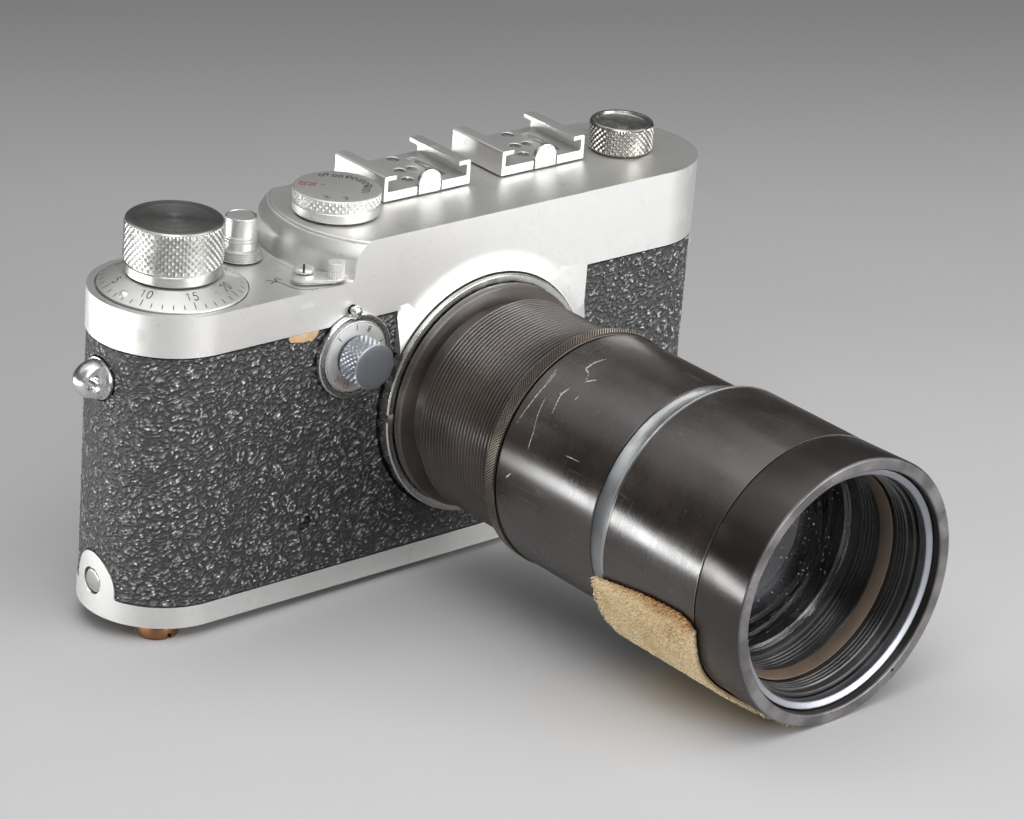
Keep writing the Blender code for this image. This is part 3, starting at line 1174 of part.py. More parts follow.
def make_film_pressure():
    """The pressure plate behind the film and the bowed leaf that pushes it."""
    plate = box("pressure_plate",
                (LENS_X - PLATE_HALF_X, PLATE_FRONT, LENS_Z - PLATE_HALF_Z),
                (LENS_X + PLATE_HALF_X, PLATE_FRONT + PLATE_SHEET, LENS_Z + PLATE_HALF_Z))
    paint(plate, BLACK)
    back = SHELL_INNER_R - GAP
    bow = [(LEAF_HALF_X * t / 6, back - LEAF_SHEET - LEAF_BOW * (t / 6) ** 2)
           for t in range(-6, 7)]
    outline = bow + [(x, y + LEAF_SHEET) for x, y in reversed(bow)]
    leaf = slab("pressure_leaf", [outline], LENS_Z - LEAF_HALF_Z, LENS_Z + LEAF_HALF_Z,
                (LENS_X, 0.0, 0.0))
    paint(leaf, STEEL)


def make_shutter():
    """The two cloth curtains, the drum they wind on and the two spring rollers."""
    for i, name in enumerate(("first_curtain", "second_curtain")):
        front = CURTAIN_FRONT + i * (CURTAIN_SHEET + GAP)
        sheet = box(name, (SPEED_X, front, LENS_Z - CURTAIN_HALF_Z),
                    (ROLLER_X[i], front + CURTAIN_SHEET, LENS_Z + CURTAIN_HALF_Z))
        paint(sheet, CLOTH)
    paint(turned("shutter_drum", ring(DRUM_R, SPINDLE_R + GAP, DRUM_TOP, DRUM_BOTTOM),
                 (SPEED_X, 0.0, 0.0)), BRASS)
    axis_y = CURTAIN_FRONT - GAP - ROLLER_R
    for name, x in zip(("first_roller", "second_roller"), ROLLER_X):
        profile = [(0.0, FRAME_TOP), (ROLLER_AXLE_R, FRAME_TOP), (ROLLER_AXLE_R, DRUM_TOP),
                   (ROLLER_R, DRUM_TOP), (ROLLER_R, DRUM_BOTTOM), (ROLLER_AXLE_R, DRUM_BOTTOM),
                   (ROLLER_AXLE_R, SHAFT_FOOT), (0.0, SHAFT_FOOT)]
        paint(turned(name, profile, (x, axis_y, 0.0), DOWN, SMALL), BRASS)


clear_scene()
PARTS = new_collection("camera_with_tube_lens")
TOOLS = new_collection("cutters")
FRAME = new_frame()
make_shell()
make_leather()
make_top_cover()
make_base()
make_base_fittings()
make_body_screw()
make_lug("strap_lug_left", -1)
make_lug("strap_lug_right", 1)
make_chassis()
make_film_pressure()
make_shutter()
make_wind_side()
make_release()
make_lever()
make_speed_dial()
make_slow_dial()
make_rewind()
make_shoe("shoe_left", SHOE_LEFT[0])
make_shoe("shoe_right", SHOE_LEFT[1])
make_mount()
make_lens_tube()
make_lens_barrel()
make_lens_cell()
make_patch()
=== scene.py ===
"""The looks of a 35 mm camera with a long tube lens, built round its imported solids."""

import json
from functools import partial
from math import asin, atan, cos, pi, radians, sin, sqrt

import bmesh
import bpy
from mathutils import Matrix, Vector


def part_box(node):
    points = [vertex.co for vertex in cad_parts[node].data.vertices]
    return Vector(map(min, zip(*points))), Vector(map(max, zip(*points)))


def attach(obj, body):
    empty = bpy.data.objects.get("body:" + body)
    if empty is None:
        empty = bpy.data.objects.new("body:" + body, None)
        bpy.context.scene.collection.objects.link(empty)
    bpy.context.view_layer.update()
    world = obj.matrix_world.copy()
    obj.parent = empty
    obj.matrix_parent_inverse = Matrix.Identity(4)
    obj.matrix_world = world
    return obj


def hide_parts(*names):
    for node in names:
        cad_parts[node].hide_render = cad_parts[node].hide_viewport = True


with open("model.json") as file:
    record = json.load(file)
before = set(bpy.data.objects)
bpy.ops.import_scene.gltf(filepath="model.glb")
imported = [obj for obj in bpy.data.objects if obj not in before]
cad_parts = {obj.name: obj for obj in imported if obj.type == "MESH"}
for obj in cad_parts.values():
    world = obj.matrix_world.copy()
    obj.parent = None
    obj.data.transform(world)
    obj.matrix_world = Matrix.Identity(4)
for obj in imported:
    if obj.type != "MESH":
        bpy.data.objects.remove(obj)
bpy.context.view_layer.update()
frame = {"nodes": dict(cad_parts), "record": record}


# ---------------------------------------------------------------------------------------
# The inside of the body: a casting painted black, a steel crate and chassis, a blackened
# light tunnel, cloth curtains on brass rollers, and gears riveted to their steel shafts.
# Sizes are millimetres in the body's own frame: X along it, Y towards its back from its
# middle plane, Z up from the underside of its base plate.

MM = 0.001
plate_low, plate_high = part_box("base_plate")
MIDDLE = (plate_low.y + plate_high.y) / 2
FOOT = plate_low.z
BODY_OF = {name: body for body, names in frame["record"]["behaviour"]["bodies"].items()
           for name in names}


def at(x, y, z):
    """A point of the body's frame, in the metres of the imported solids."""
    return Vector((x * MM, MIDDLE + y * MM, FOOT + z * MM))


def feed(socket, value):
    """Give a socket a plain value or another node's output."""
    if isinstance(value, bpy.types.NodeSocket):
        socket.id_data.links.new(value, socket)
    else:
        socket.default_value = value


def node(tree, kind, sockets=None, **settings):
    """Add a node to a shader or geometry tree, with its sockets fed."""
    made = tree.nodes.new(kind)
    for key, value in settings.items():
        setattr(made, key, value)
    for key, value in (sockets or {}).items():
        feed(made.inputs[key], value)
    return made


def reckoned(kind, sockets, **settings):
    """Add a node to the tree that its linked values belong to, and take what it gives."""
    linked = next(v for v in sockets.values() if isinstance(v, bpy.types.NodeSocket))
    return node(linked.id_data, kind, sockets, **settings).outputs[0]


def calc(operation, first, second=0.0):
    """Arithmetic on one or two values."""
    return reckoned("ShaderNodeMath", {0: first, 1: second}, operation=operation)


plus, minus, times, higher, lower = [partial(calc, name)
    for name in ("ADD", "SUBTRACT", "MULTIPLY", "MAXIMUM", "MINIMUM")]


def vector(operation, first, second=(0.0, 0.0, 0.0)):
    """Arithmetic on one or two vectors."""
    return reckoned("ShaderNodeVectorMath", {0: first, 1: second}, operation=operation)


def split(value):
    """The three parts of a vector."""
    return node(value.id_data, "ShaderNodeSeparateXYZ", {0: value}).outputs


def combined(x=0.0, y=0.0, z=0.0):
    """A vector from its three parts."""
    return reckoned("ShaderNodeCombineXYZ", {0: x, 1: y, 2: z})


def between(value, low, high, to_low=0.0, to_high=1.0):
    """Stretch a value from one range to another, held at both ends."""
    return reckoned("ShaderNodeMapRange", {0: value, 1: low, 2: high, 3: to_low, 4: to_high})


def noise(where, scale, detail=3.0):
    """Soft clouds between 0 and 1."""
    return reckoned("ShaderNodeTexNoise", {"Vector": where, "Scale": scale, "Detail": detail})


def blend(share, first, second):
    """Mix two colours, each a plain one or a node's output."""
    made = node(share.id_data, "ShaderNodeMix", {0: share}, data_type="RGBA")
    for socket, value in ((made.inputs[6], first), (made.inputs[7], second)):
        feed(socket, value if isinstance(value, bpy.types.NodeSocket) else (*value, 1.0))
    return made.outputs[2]


def shader(tree, name, value):
    """Feed one socket of the main shader."""
    feed(tree.nodes["Principled BSDF"].inputs[name], value)


def relief(tree, height, depth):
    """Bump the surface by a height from 0 to 1, so many millimetres deep."""
    shader(tree, "Normal", reckoned("ShaderNodeBump", {"Height": height, "Distance": depth * MM}))


def new_finish(name, colour, roughness, metallic=0.0):
    """A material with its plain values on the shader, and the place to add detail from."""
    finish = bpy.data.materials.new(name)
    finish.use_nodes = True
    tree = finish.node_tree
    shader(tree, "Base Color", (*colour, 1.0))
    shader(tree, "Roughness", roughness)
    shader(tree, "Metallic", metallic)
    return finish, tree, node(tree, "ShaderNodeTexCoord").outputs["Object"]


def from_axis(where, centre, other=1):
    """A point's three parts as seen from a place on the body, and how far out it is."""
    parts = split(vector("SUBTRACT", where, at(*centre)))
    return parts, calc("SQRT", plus(times(parts[0], parts[0]), times(parts[other], parts[other])))


def scratches(where, scale, turn, width=0.012):
    """Thin stray lines: 1 on a line and 0 beside it."""
    drawn_out = reckoned("ShaderNodeMapping", {"Vector": where, "Rotation": turn,
        "Scale": (1.0, 0.06, 1.0)})
    apart = calc("ABSOLUTE", minus(noise(drawn_out, scale, 1.0), 0.5))
    patchy = between(noise(where, scale * 0.35), 0.5, 0.62)
    return times(between(apart, 0.0, width, 1.0, 0.0), patchy)


def worn_metal(name, colour, roughness, grain=4000.0, smear=0.10):
    """Bare or plated metal with fine grain, smears, and a few hairline scratches."""
    finish, tree, where = new_finish(name, colour, roughness, 1.0)
    stain = noise(where, 90.0, 4.0)
    fine = noise(where, grain, 2.0)
    hair = higher(scratches(where, 420.0, (0.3, 0.5, 0.7)),
        scratches(where, 560.0, (1.1, 0.2, -0.9)))
    dull = tuple(c * 0.80 for c in colour)
    tone = blend(between(stain, 0.36, 0.60), dull, colour)
    shader(tree, "Base Color", blend(times(hair, 0.35), tone, tuple(c * 0.45 for c in colour)))
    uneven = between(stain, 0.3, 0.7, roughness + smear, roughness - 0.3 * smear)
    shader(tree, "Roughness", plus(uneven, between(fine, 0.3, 0.7, -0.03, 0.03)))
    relief(tree, minus(fine, times(hair, 1.5)), 0.003)
    return finish


def enamel(name, colour, roughness=0.45):
    """Black or coloured paint, slightly uneven and dusty."""
    finish, tree, where = new_finish(name, colour, roughness)
    dust = between(noise(where, 130.0, 5.0), 0.48, 0.72)
    pale = tuple(c * 1.5 + 0.006 for c in colour)
    shader(tree, "Base Color", blend(dust, colour, pale))
    shader(tree, "Roughness", between(noise(where, 300.0), 0.3, 0.7, roughness - 0.08,
        roughness + 0.12))
    relief(tree, noise(where, 2500.0, 2.0), 0.006)
    return finish


def refinish(finish, *names):
    """Give CAD nodes whose shape is right a better material."""
    for name in names:
        for place in frame["nodes"][name].material_slots:
            place.material = finish


plain_steel = worn_metal("plain_steel", (0.42, 0.42, 0.42), 0.36)
bare_brass = worn_metal("bare_brass", (0.60, 0.38, 0.15), 0.32)
black_enamel = enamel("black_enamel", (0.014, 0.013, 0.013))
black_casting = enamel("black_casting", (0.012, 0.012, 0.012), 0.6)

curtain_cloth, tree, where = new_finish("curtain_cloth", (0.010, 0.010, 0.010), 0.85)
threads = node(tree, "ShaderNodeTexChecker", {"Vector": where, "Scale": 4500.0}).outputs["Fac"]
relief(tree, threads, 0.02)
shader(tree, "Base Color", blend(noise(where, 400.0), (0.007, 0.007, 0.007), (0.016, 0.016, 0.016)))

refinish(black_casting, "body_shell", "take_up_spool")
refinish(black_enamel, "light_tunnel", "film_gate", "pressure_plate")
refinish(plain_steel, "chassis_plate", "shutter_crate", "pressure_leaf", "wind_shaft",
         "sprocket", "release_spring", "speed_sleeve", "speed_spindle", "rewind_shaft")
refinish(bare_brass, "slow_train", "shutter_drum", "first_roller", "second_roller")
refinish(curtain_cloth, "first_curtain", "second_curtain")


# ---------------------------------------------------------------------------------------
# The skin: thick black sheet pressed with a coarse, wandering pebble grain, glued round
# the casting and cut out for the front panel, the mount, the strap lugs and the ear.

END_X = 52.9                # centre of each round end of the body
BODY_R = 15.1
SKIN_R = 15.0
SKIN_SHEET = 0.7
SKIN_LOW = 4.5
SKIN_HIGH = 53.0
SKIN_CELL = 0.42
LENS_X = 8.1
LENS_Z = 33.1
PANEL_LEFT = -12.7
PANEL_RIGHT = 33.1
PANEL_BOTTOM = 26.0
LUG_Z = 46.3
EAR_HALF_WIDTH = 5.6
EAR_TOP = 12.0
BASE_HEIGHT = 4.2
LENS = (LENS_X, 0.0, LENS_Z)        # where the lens axis stands

TURNS = {"up": Matrix.Identity(4), "front": Matrix.Rotation(pi / 2, 4, "X"),
    "left": Matrix.Rotation(-pi / 2, 4, "Y"), "right": Matrix.Rotation(pi / 2, 4, "Y")}


def put(mesh, centre=(0.0, 0.0, 0.0), facing="up"):
    """Move a mesh drawn in millimetres about its own zero to its place on the body."""
    mesh.transform(Matrix.Translation(at(*centre)) @ TURNS[facing] @ Matrix.Scale(MM, 4))
    return mesh


def arc(x, y, radius, start, end, steps):
    """Points along an arc, both ends included."""
    turns = [start + (end - start) * i / steps for i in range(steps + 1)]
    return [(x + radius * cos(a), y + radius * sin(a)) for a in turns]


def stadium(radius, steps=63):
    """The body's plan outline, at this radius round its two end centres."""
    return (arc(END_X, 0.0, radius, -pi / 2, pi / 2, steps)
            + arc(-END_X, 0.0, radius, pi / 2, 3 * pi / 2, steps))


def circle(radius, x=0.0, y=0.0, sides=64):
    """A closed round outline."""
    return arc(x, y, radius, 0.0, 2 * pi, sides)[:-1]


def shown(name, data):
    """Put data in the scene as an object."""
    holder = bpy.data.objects.new(name, data)
    bpy.context.scene.collection.objects.link(holder)
    return holder


def drawn(shape, mesh=None):
    """Write a working shape into a mesh, a new one if none is given, and let it go."""
    mesh = mesh or bpy.data.meshes.new("drawn")
    shape.to_mesh(mesh)
    shape.free()
    return mesh


def opened(mesh):
    """A working shape made from a mesh."""
    shape = bmesh.new()
    shape.from_mesh(mesh)
    return shape


def evaluated(holder):
    """The plain mesh that an object's modifiers make; the object itself is removed."""
    graph = bpy.context.evaluated_depsgraph_get()
    mesh = bpy.data.meshes.new_from_object(holder.evaluated_get(graph))
    bpy.data.objects.remove(holder, do_unlink=True)
    return mesh


def welded(mesh, reach=0.0005):
    """Merge doubled corners and turn the faces outwards."""
    shape = opened(mesh)
    bmesh.ops.remove_doubles(shape, verts=shape.verts, dist=reach)
    bmesh.ops.recalc_face_normals(shape, faces=shape.faces)
    return drawn(shape, mesh)


def slab(loops, low, high, centre=(0.0, 0.0, 0.0), facing="up", edge=0.0):
    """A flat plate with the given outlines, its rims eased by a small round."""
    curve = bpy.data.curves.new("outline", "CURVE")
    curve.dimensions = "2D"
    curve.fill_mode = "BOTH"
    curve.extrude = (high - low) / 2
    for loop in loops:
        spline = curve.splines.new("POLY")
        spline.points.add(len(loop) - 1)
        for point, (x, y) in zip(spline.points, loop):
            point.co = (x, y, 0.0, 1.0)
        spline.use_cyclic_u = True
    mesh = welded(evaluated(shown("outline", curve)))
    mesh.transform(Matrix.Translation((0.0, 0.0, (low + high) / 2)))
    if edge:
        mesh = carved(mesh, edge=edge)
    return put(mesh, centre, facing)


def block(low, high):
    """A box between two corners."""
    shape = bmesh.new()
    bmesh.ops.create_cube(shape, size=1.0)
    bmesh.ops.scale(shape, vec=[b - a for a, b in zip(low, high)], verts=shape.verts)
    bmesh.ops.translate(shape, vec=[(a + b) / 2 for a, b in zip(low, high)],
                        verts=shape.verts)
    return put(drawn(shape))


def peg(radius, low, high, centre, facing="up", sides=64):
    """A plain cylinder, for cutting and joining."""
    return slab([circle(radius, sides=sides)], low, high, centre, facing)


def carved(mesh, *steps, edge=0.0):
    """Cut others out of a mesh, or join or intersect them, then ease its sharp edges."""
    holder = shown("work", mesh)
    others = []
    for step in steps:
        operation, other = step if isinstance(step, tuple) else ("DIFFERENCE", step)
        tool = shown("tool", other)
        others.append(tool)
        boolean = holder.modifiers.new("boolean", "BOOLEAN")
        boolean.operation = operation
        boolean.solver = "EXACT"
        boolean.object = tool
    if edge:
        rounding = holder.modifiers.new("edge", "BEVEL")
        rounding.width = edge
        rounding.segments = 2
        rounding.limit_method = "ANGLE"
        rounding.angle_limit = radians(40)
    made = evaluated(holder)
    for tool in others:
        bpy.data.objects.remove(tool, do_unlink=True)
    return made


def joined(*meshes):
    """Several meshes as one, each left as it is."""
    shape = bmesh.new()
    for mesh in meshes:
        shape.from_mesh(mesh)
    return drawn(shape)


def fasten(node_name, name, mesh, finish, crease=30.0, flats=False):
    """A new piece, smooth but for its creases and large flats, that rides with a CAD node."""
    mesh.materials.clear()
    mesh.materials.append(finish)
    mesh.shade_smooth()
    mesh.set_sharp_from_angle(angle=radians(crease))
    piece = shown(name, mesh)
    if flats:
        evened = piece.modifiers.new("flats", "WEIGHTED_NORMAL")
        evened.weight = 100
        evened.keep_sharp = True
        piece = shown(name, evaluated(piece))
    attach(piece, BODY_OF[node_name])
    return piece


def stand_in(node_name, *made):
    """A new piece that rides with a CAD node and takes its place."""
    piece = fasten(node_name, *made)
    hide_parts(node_name)
    return piece


def ear_outline(margin):
    """The rounded ear of the base plate, seen from the left end."""
    rise = EAR_TOP - BASE_HEIGHT + margin
    return [(-rise * sin(a), (EAR_HALF_WIDTH + margin) * cos(a))
            for a in [2 * pi * i / 72 for i in range(72)]]


def pebbles(where):
    """The grain's height from 0 to 1: rounded pebbles in slanting rows, and long creases."""
    tree = where.id_data
    drift = node(tree, "ShaderNodeTexNoise",
                 {"Vector": where, "Scale": 150.0, "Detail": 1.0}).outputs["Color"]
    drift = reckoned("ShaderNodeVectorMath", {0: drift, "Scale": 0.0030}, operation="SCALE")
    bent = vector("ADD", where, drift)
    slant = reckoned("ShaderNodeVectorRotate", {"Vector": bent, "Axis": (0.15, 1.0, 0.1),
        "Angle": radians(24.0)})
    rows = vector("MULTIPLY", slant, (0.80, 1.0, 1.2))
    cell = node(tree, "ShaderNodeTexVoronoi", {"Vector": rows, "Scale": 1400.0, "Randomness": 0.80},
        feature="SMOOTH_F1").outputs
    off_centre = cell["Distance"]
    own_number = split(cell["Color"])[0]
    crease = reckoned("ShaderNodeTexVoronoi", {"Vector": bent, "Scale": 300.0},
        feature="DISTANCE_TO_EDGE")
    dome = between(times(off_centre, off_centre), 0.02, 0.30, 1.0, 0.0)
    dome = times(dome, between(own_number, 0.1, 0.9, 0.60, 1.0))
    return times(dome, between(crease, 0.0, 0.14, 0.15, 1.0))


def growing(name, **kinds):
    """A new geometry tree, and its inputs: names in a row for each kind of socket."""
    tree = bpy.data.node_groups.new(name, "GeometryNodeTree")
    for kind, names in kinds.items():
        for title in names.split():
            tree.interface.new_socket(title, in_out="INPUT", socket_type="NodeSocket" + kind)
    tree.interface.new_socket("Geometry", in_out="OUTPUT", socket_type="NodeSocketGeometry")
    return tree, node(tree, "NodeGroupInput").outputs


def harvested(tree, shape, finish):
    """End a geometry tree: its instances are made real and given their finish."""
    real = reckoned("GeometryNodeRealizeInstances", {0: shape})
    done = reckoned("GeometryNodeSetMaterial", {"Geometry": real, "Material": finish})
    node(tree, "NodeGroupOutput", {0: done})
    return tree


def skin_shell():
    """The skin as a closed tube of small cells, in metres."""
    straight = 2 * END_X
    bend = pi * SKIN_R
    steps = int(2 * (straight + bend) / SKIN_CELL)
    rows = int((SKIN_HIGH - SKIN_LOW) / SKIN_CELL)

    def around(share, radius):
        length = share * 2 * (straight + bend)
        side, rest = divmod(length, straight + bend)
        turn = pi * side
        if rest < straight:
            x, y = rest - END_X, -radius
        else:
            a = (rest - straight) / SKIN_R - pi / 2
            x, y = END_X + radius * cos(a), radius * sin(a)
        return x * cos(turn) - y * sin(turn), x * sin(turn) + y * cos(turn)

    mesh = bpy.data.meshes.new("skin")
    heights = [(SKIN_R, SKIN_LOW + (SKIN_HIGH - SKIN_LOW) * i / rows)
               for i in range(rows + 1)]
    section = heights + [(SKIN_R - SKIN_SHEET, SKIN_HIGH), (SKIN_R - SKIN_SHEET, SKIN_LOW)]
    points = []
    for i in range(steps):
        for radius, z in section:
            points.append((*around(i / steps, radius), z))
    deep = len(section)
    faces = [(i * deep + j, (i + 1) % steps * deep + j,
              (i + 1) % steps * deep + (j + 1) % deep, i * deep + (j + 1) % deep)
             for i in range(steps) for j in range(deep)]
    mesh.from_pydata(points, [], faces)
    return put(mesh)


def grain_tree():
    """Geometry nodes that sink the skin's outer face between its pebbles."""
    tree, asked = growing("skin_grain", Geometry="Geometry", Float="Depth Low High",
        Material="Finish")
    where = node(tree, "GeometryNodeInputPosition").outputs[0]
    z = split(where)[2]
    margin = 0.0005
    inside = times(between(minus(z, asked["Low"]), 0.0, margin),
        between(minus(asked["High"], z), 0.0, margin))
    low = times(minus(pebbles(where), 1.0), inside)
    normal = node(tree, "GeometryNodeInputNormal").outputs[0]
    push = reckoned("ShaderNodeVectorMath", {0: normal, "Scale": times(low, asked["Depth"])},
        operation="SCALE")
    moved = reckoned("GeometryNodeSetPosition", {"Geometry": asked["Geometry"], "Offset": push})
    return harvested(tree, moved, asked["Finish"])


def grown(tree, mesh=None, **sizes):
    """Run a geometry tree with these named sizes and keep its result as a plain mesh."""
    holder = shown("work", mesh or bpy.data.meshes.new("work"))
    growth = holder.modifiers.new("growth", "NODES")
    growth.node_group = tree
    for item in tree.interface.items_tree:
        if item.name in sizes:
            growth[item.identifier] = sizes[item.name]
    return evaluated(holder)


pebbled_skin, tree, where = new_finish("pebbled_skin", (0.016, 0.016, 0.017), 0.42)
height = pebbles(where)
pores = noise(where, 2600.0, 3.0)
# Painted light on the grain: a painted sheen on the crests, bright painted glints on some of them,
# and painted shade darkening the crevices between the pebbles.
painted_glint = times(between(height, 0.40, 0.85), between(pores, 0.46, 0.62))
painted_crest_sheen = blend(painted_glint, (0.085, 0.085, 0.092), (0.90, 0.90, 0.95))
shader(tree, "Base Color", blend(between(height, 0.12, 0.62), (0.002, 0.002, 0.002), painted_crest_sheen))
shader(tree, "Roughness", between(height, 0.15, 0.8, 0.55, 0.20))
shader(tree, "Specular IOR Level", 1.0)
relief(tree, plus(height, times(pores, 0.25)), 0.60)

skin = carved(skin_shell(),
    peg(24.0, 10.0, 20.0, LENS, "front", 128),
    block((PANEL_LEFT - 0.1, -20.0, PANEL_BOTTOM - 0.1), (PANEL_RIGHT + 0.1, -10.0, 60.0)),
    peg(4.1, -90.0, 90.0, (0.0, 0.0, LUG_Z), "right"),
    slab([ear_outline(0.15)], -90.0, -END_X, (0.0, 0.0, BASE_HEIGHT), "right"))
skin = grown(grain_tree(), skin, Depth=0.20 * MM, Low=at(0, 0, SKIN_LOW).z,
             High=at(0, 0, SKIN_HIGH).z, Finish=pebbled_skin)
skin = carved(skin, peg(1.4, 10.0, 20.0, (-31.3, 0.0, 14.8), "front"))
stand_in("leather_cover", "pebbled_skin", skin, pebbled_skin, 80.0)


# ---------------------------------------------------------------------------------------
# The top cover: one drawn brass sheet with a low deck, a curved step and a high deck, and
# a front panel that hangs down round the mount. It is plated with nickel and then with
# satin chrome: pale, softly mirrored, with fine grain, fingerprints and rubbed spots.

COVER_BOTTOM = 53.3
LOW_DECK = 61.1
HIGH_DECK = 68.4
SHEET = 0.8
DECK_EDGE = 0.55
STEP_X = -5.0
STEP_TOP_R = 21.6
BOSS_FOOT_R = 28.0
BOSS_TOP_R = 24.4
BOSS_HEIGHT = 1.5
WIND_X = -52.7
WIND = (WIND_X, 0.0, 0.0)     # where each of these stands on the deck
DIAL_R = 13.55
RELEASE = (-34.5, 4.7, 0.0)
PIVOT = (-31.2, -10.3, 0.0)   # the rewind lever turns here
SPEED = (-16.5, 0.0, 0.0)
REWIND = (52.7, 0.0, 0.0)
SLOW_X = -22.9
SLOW_Z = 46.9
LOCK_X = -23.4
LOCK_Z = 55.8


satin_chrome, tree, where = new_finish("satin_chrome", (0.80, 0.80, 0.79), 0.46, 1.0)
smear = noise(where, 60.0, 5.0)
fine = noise(where, 6500.0, 2.0)
hair = higher(scratches(where, 380.0, (0.2, 0.4, 0.8), 0.008),
    scratches(where, 610.0, (0.9, 1.2, -0.5), 0.008))
tone = blend(between(smear, 0.35, 0.65), (0.74, 0.735, 0.715), (0.81, 0.805, 0.79))
spot = between(noise(where, 240.0, 4.0), 0.63, 0.72)
tone = blend(times(spot, 0.30), tone, (0.50, 0.48, 0.44))
shader(tree, "Base Color", blend(times(hair, 0.35), tone, (0.30, 0.29, 0.28)))
uneven = plus(between(smear, 0.3, 0.7, 0.50, 0.43), times(spot, 0.12))
shader(tree, "Roughness", plus(uneven, between(fine, 0.3, 0.7, -0.03, 0.03)))
relief(tree, minus(fine, hair), 0.0022)


def eased(profile, size):
    """A profile with each sharp corner replaced by a small round."""
    closed = profile[0][0] > 0.0
    last = len(profile) - 1
    out = []
    for i, point in enumerate(profile):
        here = Vector(point)
        if not closed and i in (0, last):
            out.append(here)
            continue
        back = Vector(profile[i - 1]) - here
        on = Vector(profile[(i + 1) % (last + 1)]) - here
        if back.angle(-on) < radians(20):
            out.append(here)
            continue
        reach = min(size, 0.4 * back.length, 0.4 * on.length)
        start = here + back.normalized() * reach
        end = here + on.normalized() * reach
        out += [start, (start + 2 * here + end) / 4, end]
    return [tuple(point) for point in out]


def turned(profile, centre, facing="front", edge=0.12, sides=144):
    """Turn a profile of (radius, height) points about its own axis, closed if it is hollow."""
    profile = eased(profile, edge) if edge else profile
    shape = bmesh.new()
    points = [shape.verts.new((radius, 0.0, height)) for radius, height in profile]
    pairs = list(zip(points, points[1:]))
    if profile[0][0] > 0.0:
        pairs.append((points[-1], points[0]))
    edges = [shape.edges.new(pair) for pair in pairs]
    bmesh.ops.spin(shape, geom=points + edges, cent=(0, 0, 0), axis=(0, 0, 1),
                   angle=2 * pi, steps=sides, use_merge=True)
    bmesh.ops.remove_doubles(shape, verts=shape.verts, dist=0.0005)
    bmesh.ops.recalc_face_normals(shape, faces=shape.faces)
    return put(drawn(shape), centre, facing)


def step_cutter():
    """What the step takes off the left of the cover: a steep flank with a sloping shoulder."""
    flank = [(24.35, LOW_DECK), (24.02, 61.17), (23.80, 61.38), (23.68, 61.75), (23.60, 62.4),
             (23.50, 64.4), (23.44, 65.1), (23.30, 65.6), (23.05, 66.1), (22.70, 66.7),
             (22.30, 67.3), (21.98, 67.75)]
    brow = [(STEP_TOP_R - DECK_EDGE * (1 - cos(a)), HIGH_DECK - DECK_EDGE * (1 - sin(a)))
            for a in [pi / 2 * i / 5 for i in range(6)]]
    far = 160.0
    profile = [(far, 90.0), (far, LOW_DECK), *flank, *brow, (STEP_TOP_R - DECK_EDGE, 90.0)]
    cutter = turned(profile, (STEP_X, 0.0, 0.0), "up", 0.0, 192)
    return carved(cutter, ("INTERSECT", block((-120.0, -60.0, 40.0), (STEP_X, 60.0, 95.0))))


def deck_hollow(radius):
    """The room under the high deck, bounded by the curved step."""
    step_r = STEP_TOP_R - 1.2
    spread = asin(radius / step_r)
    return (arc(STEP_X, 0.0, step_r, pi - spread, pi + spread, 47)
            + arc(END_X, 0.0, radius, -pi / 2, pi / 2, 47))


def front_boss():
    """The cone raised round the mount, kept within the front panel."""
    sunk = 0.4
    flare = sunk * (BOSS_FOOT_R - BOSS_TOP_R) / BOSS_HEIGHT
    cone = turned([(BOSS_TOP_R, BODY_R + BOSS_HEIGHT), (BOSS_FOOT_R + flare, BODY_R - sunk),
        (23.7, BODY_R - sunk), (23.7, BODY_R + BOSS_HEIGHT)], LENS, "front", 0.0, 192)
    keep = block((PANEL_LEFT + 0.02, -40.0, PANEL_BOTTOM + 0.02),
                 (PANEL_RIGHT - 0.02, 0.0, HIGH_DECK - 1.0))
    return carved(cone, ("INTERSECT", keep))


cover = slab([stadium(BODY_R)], COVER_BOTTOM, HIGH_DECK, edge=DECK_EDGE)
cover = carved(cover,
    step_cutter(),
    slab([stadium(BODY_R - SHEET)], COVER_BOTTOM - 1.0, LOW_DECK - 1.6),
    slab([deck_hollow(BODY_R - SHEET - 0.2)], LOW_DECK - 2.0, HIGH_DECK - 1.2),
    ("UNION", block((PANEL_LEFT, -BODY_R, PANEL_BOTTOM),
        (PANEL_RIGHT, 0.7 - BODY_R, COVER_BOTTOM + 1.0))),
    ("UNION", front_boss()),
    peg(24.0, 10.0, 30.0, LENS, "front", 160),
    peg(DIAL_R + 0.3, 60.3, 70.0, WIND, "up", 128),
    peg(2.6, 50.0, 70.0, WIND),
    peg(1.5, 50.0, 70.0, RELEASE),
    peg(0.9, 50.0, 70.0, PIVOT),
    peg(1.9, 50.0, 80.0, SPEED),
    peg(3.6, 50.0, 80.0, REWIND),
    peg(1.0, 10.0, 20.0, (LOCK_X, 0.0, LOCK_Z), "front", 32))

# The sharp corners where the step meets the front and back walls are pressed to a round.
CORNER_ROUND = 0.7
CORNER_LEFT = -24.6
CORNER_RIGHT = -19.5
CORNER_FOOT = LOW_DECK + 0.2
CORNER_HEAD = HIGH_DECK - 0.3
WALL_REACH = 0.06           # how near the wall's plane an end of such an edge lies
SHARP = radians(25)
shape = opened(cover)
corners = []
for edge in shape.edges:
    ends = [(v.co - at(0.0, 0.0, 0.0)) / MM for v in edge.verts]
    on_wall = all(abs(abs(p.y) - BODY_R) < WALL_REACH for p in ends)
    on_step = all(CORNER_LEFT < p.x < CORNER_RIGHT and CORNER_FOOT < p.z < CORNER_HEAD
        for p in ends)
    if on_wall and on_step and edge.calc_face_angle(0.0) > SHARP:
        corners.append(edge)
bmesh.ops.bevel(shape, geom=corners, offset=CORNER_ROUND * MM, segments=4, profile=0.5,
    affect="EDGES", clamp_overlap=True)
drawn(shape, cover)
stand_in("top_cover", "top_cover_plated", cover, satin_chrome, 30.0, True)


# ---------------------------------------------------------------------------------------
# The marks on the low deck: a curved arrow that shows which way the small lever turns,
# cut into the plating and filled with black.

